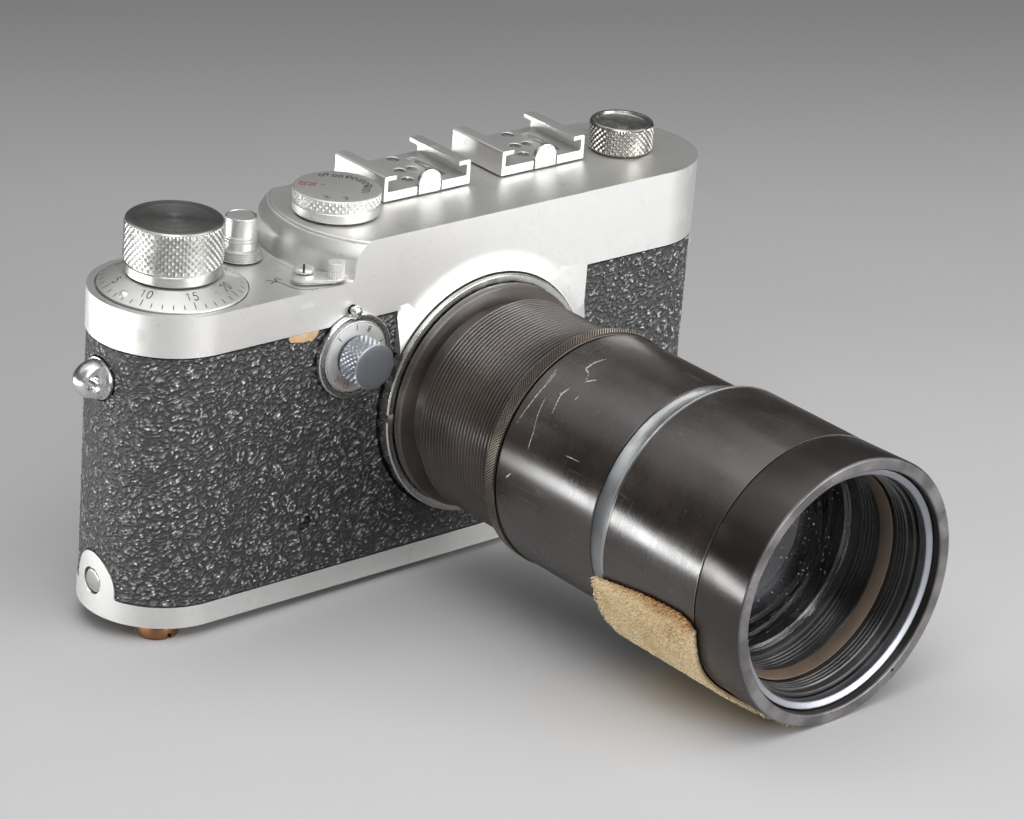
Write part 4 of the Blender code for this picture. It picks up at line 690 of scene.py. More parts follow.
FILL_LIFT = 0.012           # how far the filling stands proud of the metal


def strokes(lines, width):
    """Thin filled lines along lists of flat points, tapered a little at their ends."""
    shape = bmesh.new()
    for line in lines:
        pairs = []
        for i, point in enumerate(line):
            way = Vector(line[min(i + 1, len(line) - 1)]) - Vector(line[max(i - 1, 0)])
            half = width / 2 * (0.7 if i in (0, len(line) - 1) else 1.0)
            side = Vector((-way.y, way.x)).normalized() * half
            pairs.append([shape.verts.new((point[0] + s * side.x, point[1] + s * side.y, 0.0))
                          for s in (1, -1)])
        for (a, b), (c, d) in zip(pairs, pairs[1:]):
            shape.faces.new((b, d, c, a))
    return drawn(shape)


def laid(mesh, surface):
    """Bend a flat mesh onto a surface given by a function of its flat points."""
    for vertex in mesh.vertices:
        vertex.co = surface(*vertex.co.xy)
    return mesh


black_fill = enamel("black_fill", (0.012, 0.012, 0.012), 0.5)
red_fill = enamel("red_fill", (0.30, 0.022, 0.016), 0.5)

bow = [(-36.7, -6.5), (-36.0, -7.3), (-35.4, -8.1), (-35.05, -9.0), (-34.95, -10.2),
       (-34.75, -11.5), (-34.2, -12.7), (-33.3, -13.6), (-32.1, -14.15), (-30.8, -14.3)]
barb = [(-36.95, -8.4), (-36.2, -7.9), (-35.5, -8.2), (-35.0, -6.9), (-34.5, -6.6), (-34.2, -7.8)]
arrow = strokes([bow, barb], 0.26)
arrow = put(laid(arrow, lambda x, y: (x, y, LOW_DECK + FILL_LIFT)))
fasten("top_cover", "deck_arrow", arrow, black_fill, 35.0)


# ---------------------------------------------------------------------------------------
# The base plate: a shallow chromed tray on the hinge pin in its left ear, with a tripod
# bush, a slotted brass stud, and a locking key that has a folding wire bail.

EAR_PIN_Z = 6.2
KEY_X = 52.7
KEY = (KEY_X, 0.0, 0.0)
STUD_X = -59.3
STUD_Y = -8.9

bright_chrome = worn_metal("bright_chrome", (0.76, 0.76, 0.75), 0.24, 3000.0, 0.06)
stud_brass = worn_metal("stud_brass", (0.34, 0.17, 0.085), 0.36)

base = slab([stadium(BODY_R)], 0.0, BASE_HEIGHT, edge=0.5)
ear = carved(slab([stadium(BODY_R)], BASE_HEIGHT / 2, EAR_TOP + 1.0),
    ("INTERSECT", slab([ear_outline(0.0)], -90.0, -END_X, (0.0, 0.0, BASE_HEIGHT), "right")))
base = carved(base,
    ("UNION", ear),
    slab([stadium(BODY_R - SHEET)], 1.2, 30.0),
    peg(2.6, -90.0, -END_X - 12.0, (0.0, 0.0, EAR_PIN_Z), "right"),
    peg(6.2, -5.0, 5.0, WIND),
    peg(2.1, -5.0, 5.0, (STUD_X, STUD_Y, 0.0), "up", 32),
    peg(8.3, -5.0, 5.0, KEY))
stand_in("base_plate", "base_tray", base, satin_chrome, 30.0, True)

pin = turned([(0.0, 67.95), (1.9, 67.8), (2.3, 67.5), (2.3, 67.2), (0.0, 67.2)],
             (0.0, 0.0, EAR_PIN_Z), "left", 0.05, 64)
stand_in("base_hinge_pin", "hinge_pin", pin, bright_chrome, 35.0)


def thread(radius, root, low, high, pitch):
    """The stepped side of a threaded bore or spigot, as points of a profile."""
    points = []
    count = int((high - low) / pitch)
    for i in range(count):
        z = low + i * pitch
        points += [(radius, z), (root, z + pitch / 2)]
    return points


bush = [(7.4, 4.9), (7.4, 1.5), (5.9, 1.5), (5.9, 0.0),
        *thread(3.175, 3.7, 0.3, 4.8, 1.27), (3.175, 4.9)]
stand_in("tripod_bush", "bush", turned(bush, WIND, "up", 0.06, 96), bright_chrome, 35.0)

stud = turned([(0.0, 1.2), (1.8, 1.2), (1.8, -0.3), (3.8, -0.3), (3.8, -2.3), (3.3, -2.8),
               (0.0, -2.8)], (STUD_X, STUD_Y, 0.0), "up", 0.15, 64)
stud = carved(stud, block((STUD_X - 0.4, STUD_Y - 5.0, -4.0), (STUD_X + 0.4, STUD_Y + 5.0, -1.4)))
stand_in("brass_stud", "slotted_stud", stud, stud_brass, 35.0)

key = turned([(0.0, 3.5), (4.5, 3.5), (4.5, 0.9), (8.0, 0.9), (8.0, -1.6), (6.8, -1.6), (6.8, -0.3),
    (0.0, -0.3)], KEY, "up", 0.15, 96)
stand_in("lock_key", "key_disc", key, satin_chrome, 35.0)


def wire_loop(points, radius, closed=True):
    """A bent round wire along a list of points."""
    curve = bpy.data.curves.new("wire", "CURVE")
    curve.dimensions = "3D"
    curve.bevel_depth = radius
    curve.bevel_resolution = 3
    curve.use_fill_caps = not closed
    spline = curve.splines.new("POLY")
    spline.points.add(len(points) - 1)
    for point, place in zip(spline.points, points):
        point.co = (*place, 1.0)
    spline.use_cyclic_u = closed
    return welded(evaluated(shown("wire", curve)), 0.001)


hoop = wire_loop([(x, y, 0.0) for x, y in arc(0.0, 0.0, 5.4, 0.0, pi, 40)], 0.44)
stand_in("lock_bail", "bail_wire", put(hoop, (KEY_X, 0.0, -1.05)), bright_chrome, 35.0)


# ---------------------------------------------------------------------------------------
# Two strap lugs, each a domed stud filed to two flats and drilled across, on a round foot,
# and the small blackened screw that holds the skin's corner on the front.

for side, name in ((-1, "strap_lug_left"), (1, "strap_lug_right")):
    facing = "left" if side < 0 else "right"
    foot = END_X + 14.3
    seat = foot + 0.9
    dome = [(3.7 * sin(a), seat + 4.9 * cos(a)) for a in [pi / 2 * i / 18 for i in range(19)]]
    dome[0] = (0.0, dome[0][1])
    lug = turned([*dome, (3.9, seat), (3.9, foot), (1.4, foot), (1.4, foot - 1.5),
                  (0.0, foot - 1.5)], (0.0, 0.0, LUG_Z), facing, 0.12, 96)
    hole_x = side * (seat + 1.96)
    near, far = sorted((side * seat, side * (seat + 9.0)))
    lug = carved(lug,
        block((near, -9.0, LUG_Z - 9.0), (far, -2.0, LUG_Z + 9.0)),
        block((near, 2.0, LUG_Z - 9.0), (far, 9.0, LUG_Z + 9.0)),
        turned([(0.0, 9.0), (2.1, 9.0), (2.1, 2.5), (1.2, 1.5), (1.2, -1.5), (2.1, -2.5),
            (2.1, -9.0), (0.0, -9.0)], (hole_x, 0.0, LUG_Z), "front", 0.0, 64))
    stand_in(name, name + "_turned", lug, bright_chrome)

blackened = worn_metal("blackened_steel", (0.10, 0.10, 0.10), 0.32)
screw = turned([(0.0, 14.95), (0.7, 14.95), (1.2, 14.7), (1.2, 14.2), (0.6, 14.2),
                (0.6, 12.9), (0.0, 12.9)], (-31.3, 0.0, 14.8), "front", 0.05, 48)
screw = carved(screw, block((-32.8, -15.5, 14.65), (-29.8, -14.6, 14.95)))
stand_in("body_screw", "skin_screw", screw, blackened, 35.0)


# ---------------------------------------------------------------------------------------
# The winding knob: turned brass chromed all over, its grip cut with a diamond knurl and
# its top faced bright in the lathe: fine rings, scuffs and dulled spots. It is pressed on
# the wind shaft.

WIND_TOP = 74.05
BORE = 2.5


def knurl_tree():
    """Geometry nodes for a knurled band: rows of raised points round a cylinder."""
    tree, asked = growing("knurl", Float="Radius Depth Low High Rows Square", Int="Count Steps",
        Material="Finish")
    columns = plus(times(asked["Count"], 4.0), 1.0)
    grid = reckoned("GeometryNodeMeshGrid", {"Size X": 1.0, "Size Y": 1.0, "Vertices X": columns,
        "Vertices Y": plus(asked["Steps"], 1.0)})
    place = split(node(tree, "GeometryNodeInputPosition").outputs[0])
    along = plus(place[0], 0.5)
    up = plus(place[1], 0.5)
    turn = times(along, asked["Count"])
    rise = times(up, asked["Rows"])
    lean = minus(1.0, asked["Square"])

    def ridge(value):
        return minus(1.0, calc("ABSOLUTE", minus(times(calc("FRACT", value), 2.0), 1.0)))

    height = lower(ridge(plus(turn, times(lean, rise))), ridge(minus(times(lean, turn), rise)))
    height = lower(height, times(lower(up, minus(1.0, up)), asked["Steps"]))
    radius = minus(asked["Radius"], times(asked["Depth"], minus(1.0, height)))
    angle = times(along, 2 * pi)
    there = combined(times(radius, calc("COSINE", angle)), times(radius, calc("SINE", angle)),
        between(up, 0.0, 1.0, asked["Low"], asked["High"]))
    moved = reckoned("GeometryNodeSetPosition", {"Geometry": grid, "Position": there})
    closed = reckoned("GeometryNodeMergeByDistance", {0: moved, "Distance": 0.002})
    return harvested(tree, closed, asked["Finish"])


knurl = knurl_tree()


def knurled(centre, facing, radius, depth, low, high, count, rows, finish, square=0.0):
    """A knurled band round an axis, its first and last rows chamfered off."""
    band = grown(knurl, Radius=radius, Depth=depth, Low=low, High=high, Count=count,
                 Rows=float(rows), Steps=int(4 * rows), Square=square, Finish=finish)
    return put(band, centre, facing)


GRIP_R = 9.1
knob_chrome, tree, where = new_finish("knob_chrome", (0.62, 0.62, 0.61), 0.2, 1.0)
parts, reach = from_axis(where, WIND)
stain = noise(where, 260.0, 5.0)
hair = scratches(where, 520.0, (0.4, 0.2, 0.9), 0.010)
tone = blend(between(stain, 0.45, 0.70), (0.62, 0.62, 0.61), (0.40, 0.39, 0.36))
shader(tree, "Base Color", blend(times(hair, 0.4), tone, (0.85, 0.85, 0.84)))
wide = noise(combined(reach), 900.0, 2.0)
rough = plus(between(wide, 0.3, 0.7, 0.16, 0.26), between(reach, (GRIP_R - 0.8) * MM,
    (GRIP_R - 0.5) * MM, 0.0, 0.16))
shader(tree, "Roughness", plus(rough, between(stain, 0.4, 0.7, 0.0, 0.10)))
outward = vector("NORMALIZE", combined(parts[0], parts[1]))
shader(tree, "Anisotropic", 0.7)
shader(tree, "Tangent", vector("ADD", outward, (0.0, 0.0, 0.3)))
relief(tree, plus(noise(combined(reach), 5200.0, 3.0), times(hair, -0.8)), 0.0018)

core = turned([(0.0, WIND_TOP - 0.05), (6.5, WIND_TOP - 0.03), (8.5, WIND_TOP),
    (8.82, WIND_TOP - 0.26), (8.68, WIND_TOP - 0.40), (8.68, 66.05), (8.62, 65.95), (8.85, 65.8),
    (8.85, 64.15), (8.6, 63.95), (BORE, 63.95), (BORE, 70.0), (0.0, 70.0)], WIND, "up", 0.06)
grip = knurled(WIND, "up", GRIP_R, 0.50, 65.95, WIND_TOP - 0.30, 44, 6, knob_chrome)
stand_in("wind_knob", "winding_knob", joined(core, grip), knob_chrome, 22.0)


# ---------------------------------------------------------------------------------------
# The frame counter: a satin cone under the knob with forty engraved lines, a number at
# every fifth, and a small ball pressed in as a grip for the fingernail.

CONE_TOP_R = 9.3
CONE_TOP = 63.65
CONE_RIM = 61.4
COUNT_FIFTEEN = radians(-106.0)

FIGURE_ARCS = {             # each figure as arcs (x, y, radii, from, to) and corner points
    "0": [[(0.30, 0.50, 0.27, 0.50, 90, 450)]],
    "1": [[(0.10, 0.80), (0.34, 1.0), (0.34, 0.0)]],
    "2": [[(0.30, 0.72, 0.26, 0.28, 165, -25), (0.04, 0.0), (0.58, 0.0)]],
    "3": [[(0.28, 0.76, 0.23, 0.24, 150, -80)], [(0.28, 0.27, 0.27, 0.27, 85, -150)]],
    "4": [[(0.42, 0.0), (0.42, 1.0), (0.0, 0.30), (0.60, 0.30)]],
    "5": [[(0.52, 1.0), (0.13, 1.0), (0.09, 0.56), (0.28, 0.32, 0.28, 0.32, 115, -150)]],
    "6": [[(0.44, 1.0), (0.12, 0.56)], [(0.30, 0.30, 0.27, 0.30, 90, 450)]],
    "7": [[(0.02, 1.0), (0.58, 1.0), (0.20, 0.0)]],
    "8": [[(0.30, 0.75, 0.22, 0.25, 90, 450)], [(0.30, 0.26, 0.27, 0.26, 90, 450)]],
}


def figures(number, height):
    """The strokes of a plain engraved number, centred on zero."""
    lines = []
    for place, digit in enumerate(number):
        shift = (place - (len(number) - 1) / 2) * 0.86 - 0.30
        for outline in FIGURE_ARCS[digit]:
            line = []
            for item in outline:
                if len(item) == 2:
                    line.append(item)
                    continue
                x, y, wide, tall, start, end = item
                line += [(x + wide * cos(a), y + tall * sin(a)) for a in
                         [radians(start + (end - start) * i / 16) for i in range(17)]]
            lines.append([((x + shift) * height, (y - 0.5) * height) for x, y in line])
    return lines


def round_an_axis(lines, angle, reach):
    """Turn flat strokes so their tops point at the axis, this far out from it."""
    turn = angle + pi / 2
    return [[(x * cos(turn) - y * sin(turn) + reach * cos(angle),
        x * sin(turn) + y * cos(turn) + reach * sin(angle)) for x, y in line] for line in lines]


def on_the_cone(x, y):
    """A flat point laid on the counter's slope."""
    reach = sqrt(x * x + y * y)
    slope = (CONE_TOP - CONE_RIM) / (DIAL_R - CONE_TOP_R)
    return x, y, CONE_TOP - (reach - CONE_TOP_R) * slope + FILL_LIFT


cone = turned([(CONE_TOP_R, CONE_TOP), (DIAL_R - 0.08, CONE_RIM + 0.04), (DIAL_R, CONE_RIM - 0.1),
    (DIAL_R, 60.7), (BORE, 60.7), (BORE, CONE_TOP)], WIND, "up", 0.05)
BALL_R = 1.05
BALL_OUT = 11.6             # how far the ball sits from the knob's axis
BALL_ANGLE = radians(188)
ball_centre = (WIND_X + BALL_OUT * cos(BALL_ANGLE), BALL_OUT * sin(BALL_ANGLE), 61.9)
ball = turned([(BALL_R * sin(a), BALL_R * cos(a)) for a in [pi * i / 16 for i in range(17)]],
    ball_centre, "up", 0.0, 32)
stand_in("counter_dial", "counter_cone", joined(cone, welded(ball)), satin_chrome, 25.0)

lines = []
for i in range(40):
    angle = COUNT_FIFTEEN + radians(9.0) * (i - 15)
    inner = 11.6 if i % 5 == 0 else 12.1
    lines.append([(r * cos(angle), r * sin(angle)) for r in (inner, 12.6, 13.05)])
    if i % 5 == 0:
        lines += round_an_axis(figures(str(i), 1.55), angle, 10.45)
marks = put(laid(strokes(lines, 0.19), on_the_cone), WIND)
fasten("counter_dial", "counter_figures", marks, black_fill, 35.0)


# ---------------------------------------------------------------------------------------
# The release: a threaded and banded collar screwed into the deck, a plain sleeve on it,
# and the flat button that slides inside, on the long rod down to the shutter.

ridges = []
for i in range(6):
    z = 61.42 + 0.325 * i
    out = 4.28 - 0.10 * i
    ridges += [(out - 0.28, z), (out, z + 0.10), (out, z + 0.19), (out - 0.30, z + 0.29)]
collar = [(1.5, 61.4), (3.95, 61.4), *ridges, (3.3, 63.38), (3.05, 63.44), (3.05, 64.62),
          (2.90, 64.70), (2.90, 64.80), (3.15, 64.88), (3.15, 65.28), (3.0, 65.36),
          (3.15, 65.44), (3.15, 65.86), (2.95, 65.94), (2.95, 69.12), (2.93, 69.36),
          (2.83, 69.48), (2.72, 69.48), (2.66, 69.38), (2.66, 64.0), (1.5, 64.0)]
collar = turned(collar, RELEASE, "up", 0.05, 96)
release_plate = worn_metal("release_plate", (0.70, 0.70, 0.68), 0.38)
stand_in("release_collar", "release_collar_rings", collar, release_plate)

button_face = worn_metal("button_face", (0.66, 0.66, 0.65), 0.50)
cap = turned([(0.0, 69.30), (2.3, 69.36), (2.52, 69.32), (2.62, 69.20), (2.62, 66.9), (1.0, 66.9),
    (1.0, 15.7), (0.72, 15.6), (0.72, 13.2), (0.0, 13.2)], RELEASE, "up", 0.03, 96)
stand_in("release_button", "release_cap", cap, button_face, 35.0)


# ---------------------------------------------------------------------------------------
# The rewind lever: a stamped chromed arm with a boss, a grooved post riveted in its end,
# and a slotted screw that holds it on the deck. A dark bar laid in the screw's slot is painted
# shade. Old dirt is packed in the screw's slot.

POST_X = -26.2
POST_Y = -13.25

way = Vector((POST_X - PIVOT[0], POST_Y - PIVOT[1]))
swing = atan(way.y / way.x)


def lever_plate(near_r, share, far_r, low, high, edge):
    """A flat arm with round ends that reaches this share of the way to the post."""
    outline = (arc(0.0, 0.0, near_r, swing + pi / 2, swing + 3 * pi / 2, 40) + arc(share * way.x,
        share * way.y, far_r, swing - pi / 2, swing + pi / 2, 40))
    arm = slab([outline], low, high, PIVOT, "up", edge)
    return carved(arm, peg(0.9, 50.0, 70.0, PIVOT))


boss = turned([(2.1, 61.8), (2.1, 62.9), (0.9, 62.9), (0.9, 61.8)], PIVOT, "up", 0.1, 64)
post = turned([(0.0, 65.02), (1.5, 65.02), (1.64, 64.92), (1.64, 64.80), (1.46, 64.72),
               (1.46, 61.8), (0.0, 61.8)], (POST_X, POST_Y, 0.0), "up", 0.04, 48)
post_grip = knurled((POST_X, POST_Y, 0.0), "up", 1.68, 0.24, 62.2, 64.86, 26, 7, satin_chrome,
                    1.0)
arm = joined(lever_plate(2.4, 1.0, 1.8, 61.72, 62.25, 0.10),
    lever_plate(2.45, 0.86, 1.5, 61.4, 61.52, 0.03),
    boss)
stand_in("rewind_lever", "lever_arm", arm, satin_chrome)
fasten("rewind_lever", "lever_post", joined(post, post_grip), satin_chrome, 22.0)

SLOT_TURN = radians(52)


def in_the_slot(half_long, half_wide, low, high):
    """A bar along the screw's slot."""
    turn = Matrix.Rotation(SLOT_TURN, 2)
    corners = ((-half_long, -half_wide), (half_long, -half_wide), (half_long, half_wide),
        (-half_long, half_wide))
    return slab([[turn @ Vector(corner) for corner in corners]], low, high, PIVOT)


head = turned([(0.0, 64.02), (1.5, 64.0), (1.9, 63.72), (1.9, 63.2), (0.6, 63.2), (0.6, 59.5),
    (0.0, 59.5)], PIVOT, "up", 0.05, 64)
head = carved(head, in_the_slot(2.4, 0.21, 63.48, 65.0))
stand_in("lever_screw", "lever_screw_slotted", head, satin_chrome)
# A dark bar of black fill in the bottom of the slot: painted shade, where the narrow slot lies only
# in shade.
painted_slot_shade = in_the_slot(1.75, 0.2, 63.46, 63.80)
fasten("lever_screw", "lever_screw_slot_shade", painted_slot_shade, black_fill, 35.0)


# ---------------------------------------------------------------------------------------
# The speed dial: a chromed cap with a knurled rim, lifted to turn, its satin top engraved
# with black and red numbers round the axis.

SPEED_TOP = 73.2

cap = turned([(0.0, SPEED_TOP), (7.9, SPEED_TOP), (8.12, SPEED_TOP - 0.18), (7.98, 72.9),
    (7.98, 70.75), (7.9, 70.65), (8.1, 70.5), (8.1, 68.95), (7.8, 68.7), (3.7, 68.7), (3.7, 71.6),
    (0.0, 71.6)], SPEED, "up", 0.06)
grip = knurled(SPEED, "up", 8.3, 0.42, 70.62, 73.02, 42, 2, satin_chrome)
stand_in("speed_dial", "speed_cap", joined(cap, grip), satin_chrome, 22.0)

black_lines = []
for number, angle, reach in (("60", 76, 6.2), ("100", 46, 5.4), ("200", 18, 5.6),
                             ("500", -12, 5.7), ("1000", -46, 5.4), ("2", -112, 6.1)):
    black_lines += round_an_axis(figures(number, 1.35), radians(angle), reach)
black_lines += round_an_axis([[(-1.0, 0.5), (0.3, 0.1), (-0.3, -0.2), (1.0, -0.6)]],
                             radians(-146), 5.85)
red_lines = []
for number, tall, angle, reach in (("30", 1.35, 134, 6.3), ("20", 1.2, 134, 4.6),
                                   ("1", 0.9, 128, 2.8)):
    red_lines += round_an_axis(figures(number, tall), radians(angle), reach)


def on_the_cap(x, y):
    """A flat point laid on the top of the speed dial."""
    return x, y, SPEED_TOP + FILL_LIFT


for name, lines, fill in (("speed_black_figures", black_lines, black_fill),
                          ("speed_red_figures", red_lines, red_fill)):
    marks = put(laid(strokes(lines, 0.22), on_the_cap), SPEED)
    fasten("speed_dial", name, marks, fill, 35.0)


# ---------------------------------------------------------------------------------------
# The slow-speed dial on the front: a bright ring round a satin disc with a few engraved
# lines and numbers, a knurled stub knob with a faced end, and a domed locking button.

SLOW = (SLOW_X, 0.0, SLOW_Z)

ring = turned([(8.05, 16.3), (8.2, 16.15), (8.2, 15.4), (2.1, 15.4), (2.1, 15.7), (7.2, 15.7),
               (7.2, 16.3)], SLOW, "front", 0.05)
ring = carved(ring, peg(1.45, 10.0, 20.0, (LOCK_X, 0.0, LOCK_Z), "front"))
stand_in("slow_plate", "slow_ring", ring, bright_chrome)
face = turned([(6.75, 16.5), (6.9, 16.4), (6.9, 16.0), (2.1, 16.0), (2.1, 16.5)], SLOW, "front",
              0.04)
stand_in("slow_disc", "slow_face", face, satin_chrome)


def on_the_face(x, y):
    """A flat point laid on the slow dial's disc, seen from the front."""
    return x, y, 16.5 + FILL_LIFT


ticks = [[(r * cos(radians(t)), r * sin(radians(t))) for r in (5.15, 5.8, 6.45)]
    for t in (134, 92, 20)]
circle_line = [arc(0.0, 0.0, 6.72, 0.0, 2 * pi, 96)]
black_lines = ticks + round_an_axis(figures("8", 1.0), radians(62), 5.6)
red_lines = (round_an_axis(figures("15", 1.05), radians(-112), 5.6)
             + round_an_axis(figures("2", 1.05), radians(-140), 5.6))
for name, lines, wide, fill in (("slow_black_figures", black_lines, 0.2, black_fill),
                                ("slow_circle_line", circle_line, 0.1, black_fill),
                                ("slow_red_figures", red_lines, 0.15, red_fill)):
    marks = put(laid(strokes(lines, wide), on_the_face), SLOW, "front")
    fasten("slow_disc", name, marks, fill, 35.0)

stub_chrome = worn_metal("stub_chrome", (0.56, 0.59, 0.65), 0.32)
core = turned([(0.0, 21.94), (3.0, 21.96), (4.25, 22.0), (4.42, 21.85), (4.2, 21.6),
               (4.12, 16.9), (3.9, 16.8), (1.8, 16.8), (1.8, 8.0), (0.0, 8.0)], SLOW, "front",
              0.05)
grip = knurled(SLOW, "front", 4.55, 0.45, 16.85, 21.75, 25, 4, stub_chrome)
stand_in("slow_knob", "slow_stub", joined(core, grip), stub_chrome, 22.0)

dome = [(1.15 * sin(a), 16.55 + 0.75 * cos(a)) for a in [pi / 2 * i / 8 for i in range(9)]]
dome = turned([(0.0, 17.3), *dome[1:], (1.15, 16.2), (0.7, 16.2), (0.7, 14.9), (0.0, 14.9)],
              (LOCK_X, 0.0, LOCK_Z), "front", 0.0, 48)
stand_in("slow_lock_button", "lock_dome", dome, bright_chrome, 40.0)


# ---------------------------------------------------------------------------------------
# The rewind knob: a smaller knurled cup on a telescopic tube, chrome worn to brass on the
# crests, with a turned hollow in its top.

worn_knob, tree, where = new_finish("worn_knob_chrome", (0.62, 0.60, 0.54), 0.22, 1.0)
reach = from_axis(where, REWIND)[1]
patchy = between(noise(where, 320.0, 4.0), 0.42, 0.60)
worn = times(between(reach, 6.12 * MM, 6.38 * MM), patchy)
groove = times(between(reach, 5.95 * MM, 6.15 * MM, 1.0, 0.0), between(reach, 5.80 * MM, 5.90 * MM))
tone = blend(times(groove, 0.75), (0.60, 0.60, 0.58), (0.16, 0.14, 0.09))
shader(tree, "Base Color", blend(times(worn, 0.6), tone, (0.72, 0.60, 0.32)))
shader(tree, "Roughness", between(patchy, 0.0, 1.0, 0.17, 0.30))
relief(tree, noise(combined(reach), 5200.0, 3.0), 0.0018)

REWIND_TOP = 74.3
core = turned([(0.0, REWIND_TOP - 0.55), (5.0, REWIND_TOP - 0.50), (5.15, REWIND_TOP - 0.05),
    (5.8, REWIND_TOP), (6.1, REWIND_TOP - 0.28), (5.98, REWIND_TOP - 0.42), (5.98, 68.9),
    (5.8, 68.7), (3.3, 68.7), (3.3, 60.0), (2.6, 60.0), (2.6, 72.5), (0.0, 72.5)], REWIND, "up",
    0.05)
grip = knurled(REWIND, "up", 6.4, 0.48, 68.72, REWIND_TOP - 0.3, 34, 4.5, worn_knob)
stand_in("rewind_knob", "rewinding_knob", joined(core, grip), worn_knob, 22.0)


# ---------------------------------------------------------------------------------------
# Two accessory shoes on the high deck: pressed channels with inward lips, each held by
# four screws, with a bowed spring strip and a round-topped stop plate in its front.

SHOE_BASE = 68.7
SHOE_WIDTH = 20.5
SHOE_SLOT = 18.7
SHOE_HEIGHT = 4.9
SHOE_FLOOR = 1.8
SHOE_LIP = 2.85
SHOE_LIP_SHEET = 0.9
SHOE_FRONT = -1.5
SHOE_LENGTH = 15.1
SHOE_SCREWS = ((12.7, 12.1), (8.5, 2.3), (10.1, 6.7), (12.9, 6.4))
SHOE_MIDDLE = SHOE_WIDTH / 2 + 0.6


def accessory_shoe(left):
    """One pressed channel with its lips, notch, spring slot and sunk screw seats."""
    wall = (SHOE_WIDTH - SHOE_SLOT) / 2
    under = SHOE_HEIGHT - SHOE_LIP_SHEET
    half = [(0.0, 0.0), (0.0, SHOE_HEIGHT - 0.45), (0.14, SHOE_HEIGHT - 0.13),
            (0.45, SHOE_HEIGHT), (SHOE_LIP, SHOE_HEIGHT), (SHOE_LIP, under), (wall, under),
            (wall, SHOE_FLOOR)]
    outline = half + [(SHOE_WIDTH - x, z) for x, z in reversed(half)]
    back = SHOE_FRONT + SHOE_LENGTH
    shoe = slab([outline], -back, -SHOE_FRONT, (left, 0.0, SHOE_BASE), "front")
    middle = left + SHOE_MIDDLE
    floor = SHOE_BASE + SHOE_FLOOR
    cuts = [block((middle - 2.9, SHOE_FRONT - 0.3, 60.0), (middle + 2.9, SHOE_FRONT + 1.1, 90.0)),
        block((left + 15.3, SHOE_FRONT + 2.55, floor - 0.9),
        (left + 16.9, SHOE_FRONT + 12.55, floor + 0.3))]
    for x, y in SHOE_SCREWS:
        seat = turned([(0.0, floor + 0.3), (1.35, floor + 0.3), (1.35, floor + 0.01),
                       (0.8, floor - 0.45), (0.0, floor - 0.45)], (left + x, y, 0.0), "up",
                      0.0, 40)
        cuts.append(seat)
    return carved(shoe, *cuts, edge=0.1)


def moved_by(mesh, turn):
    """Turn a mesh made at the body's zero about that zero, and move it."""
    mesh.transform(turn @ Matrix.Translation(-at(0.0, 0.0, 0.0)))
    return mesh


def shoe_screws(left):
    """The countersunk screws and the bowed spring strip in the floor of a shoe."""
    floor = SHOE_BASE + SHOE_FLOOR
    made = []
    for i, (x, y) in enumerate(SHOE_SCREWS):
        screw = turned([(0.0, floor + 0.06), (0.7, floor + 0.04), (1.2, floor - 0.08),
                        (0.75, floor - 0.44), (0.0, floor - 0.44)], (left + x, y, 0.0), "up",
                       0.0, 40)
        turn = Matrix.Translation(at(left + x, y, 0.0)) @ Matrix.Rotation(0.9 * i, 4, "Z")
        slit = slab([[(-1.6, -0.14), (1.6, -0.14), (1.6, 0.14), (-1.6, 0.14)]],
                    floor - 0.2, floor + 0.5)
        made.append(carved(screw, moved_by(slit, turn)))
    low = floor - 0.75
    bow = [(-5.0 + i, low + 0.75 * cos(pi * (i - 5) / 12)) for i in range(11)]
    strip = [(y, z) for y, z in bow] + [(y, z - 0.25) for y, z in reversed(bow)]
    spring = slab([strip], -0.55, 0.55)
    turn = Matrix.Translation(at(left + 16.1, SHOE_FRONT + 7.55, 0.0)) @ Matrix.Rotation(
        pi / 2, 4, "Z") @ Matrix.Rotation(pi / 2, 4, "X")
    return joined(*made, moved_by(spring, turn))


def stop_plate(left):
    """The round-topped plate that stops a finder sliding out of the front."""
    outline = [(-2.6, 0.0), (2.6, 0.0), *arc(0.0, 2.0, 2.6, 0.0, pi, 32)]
    return slab([outline], -SHOE_FRONT - 0.8, -SHOE_FRONT, (left + SHOE_MIDDLE, 0.0, SHOE_BASE),
        "front", 0.12)


for left, name in ((-6.6, "shoe_left"), (21.6, "shoe_right")):
    stand_in(name, name + "_channel", accessory_shoe(left), satin_chrome, 30.0, True)
    fasten(name, name + "_screws", shoe_screws(left), bright_chrome)
    stand_in(name + "_tongue", name + "_stop", stop_plate(left), bright_chrome, 30.0, True)


# ---------------------------------------------------------------------------------------
# The lens mount: a chromed flange let into the panel, notched at the left, its dark face
# rubbed by lenses, and the blackened adapter whose long tube is cut with a fine thread.



def round_the_lens(where):
    """How far out from the lens axis a point is, and how far forward."""
    parts, out = from_axis(where, LENS, 2)
    return out, times(parts[1], -1.0)


def spun_grain(where, scale, detail=3.0):
    """Noise that runs round the lens axis, as turning marks do."""
    return noise(combined(*round_the_lens(where)), scale, detail)


flange_metal, tree, where = new_finish("flange_chrome", (0.60, 0.60, 0.58), 0.22, 1.0)
out, forward = round_the_lens(where)
rubbed = noise(where, 420.0, 5.0)
face = times(between(out, 22.25 * MM, 22.05 * MM), between(forward, 17.0 * MM, 17.3 * MM))
face_tone = blend(between(rubbed, 0.50, 0.66), (0.035, 0.032, 0.030), (0.16, 0.15, 0.14))
shader(tree, "Base Color", blend(face, (0.60, 0.60, 0.58), face_tone))
shader(tree, "Roughness", between(rubbed, 0.3, 0.7, 0.18, 0.34))
relief(tree, spun_grain(where, 5000.0), 0.002)

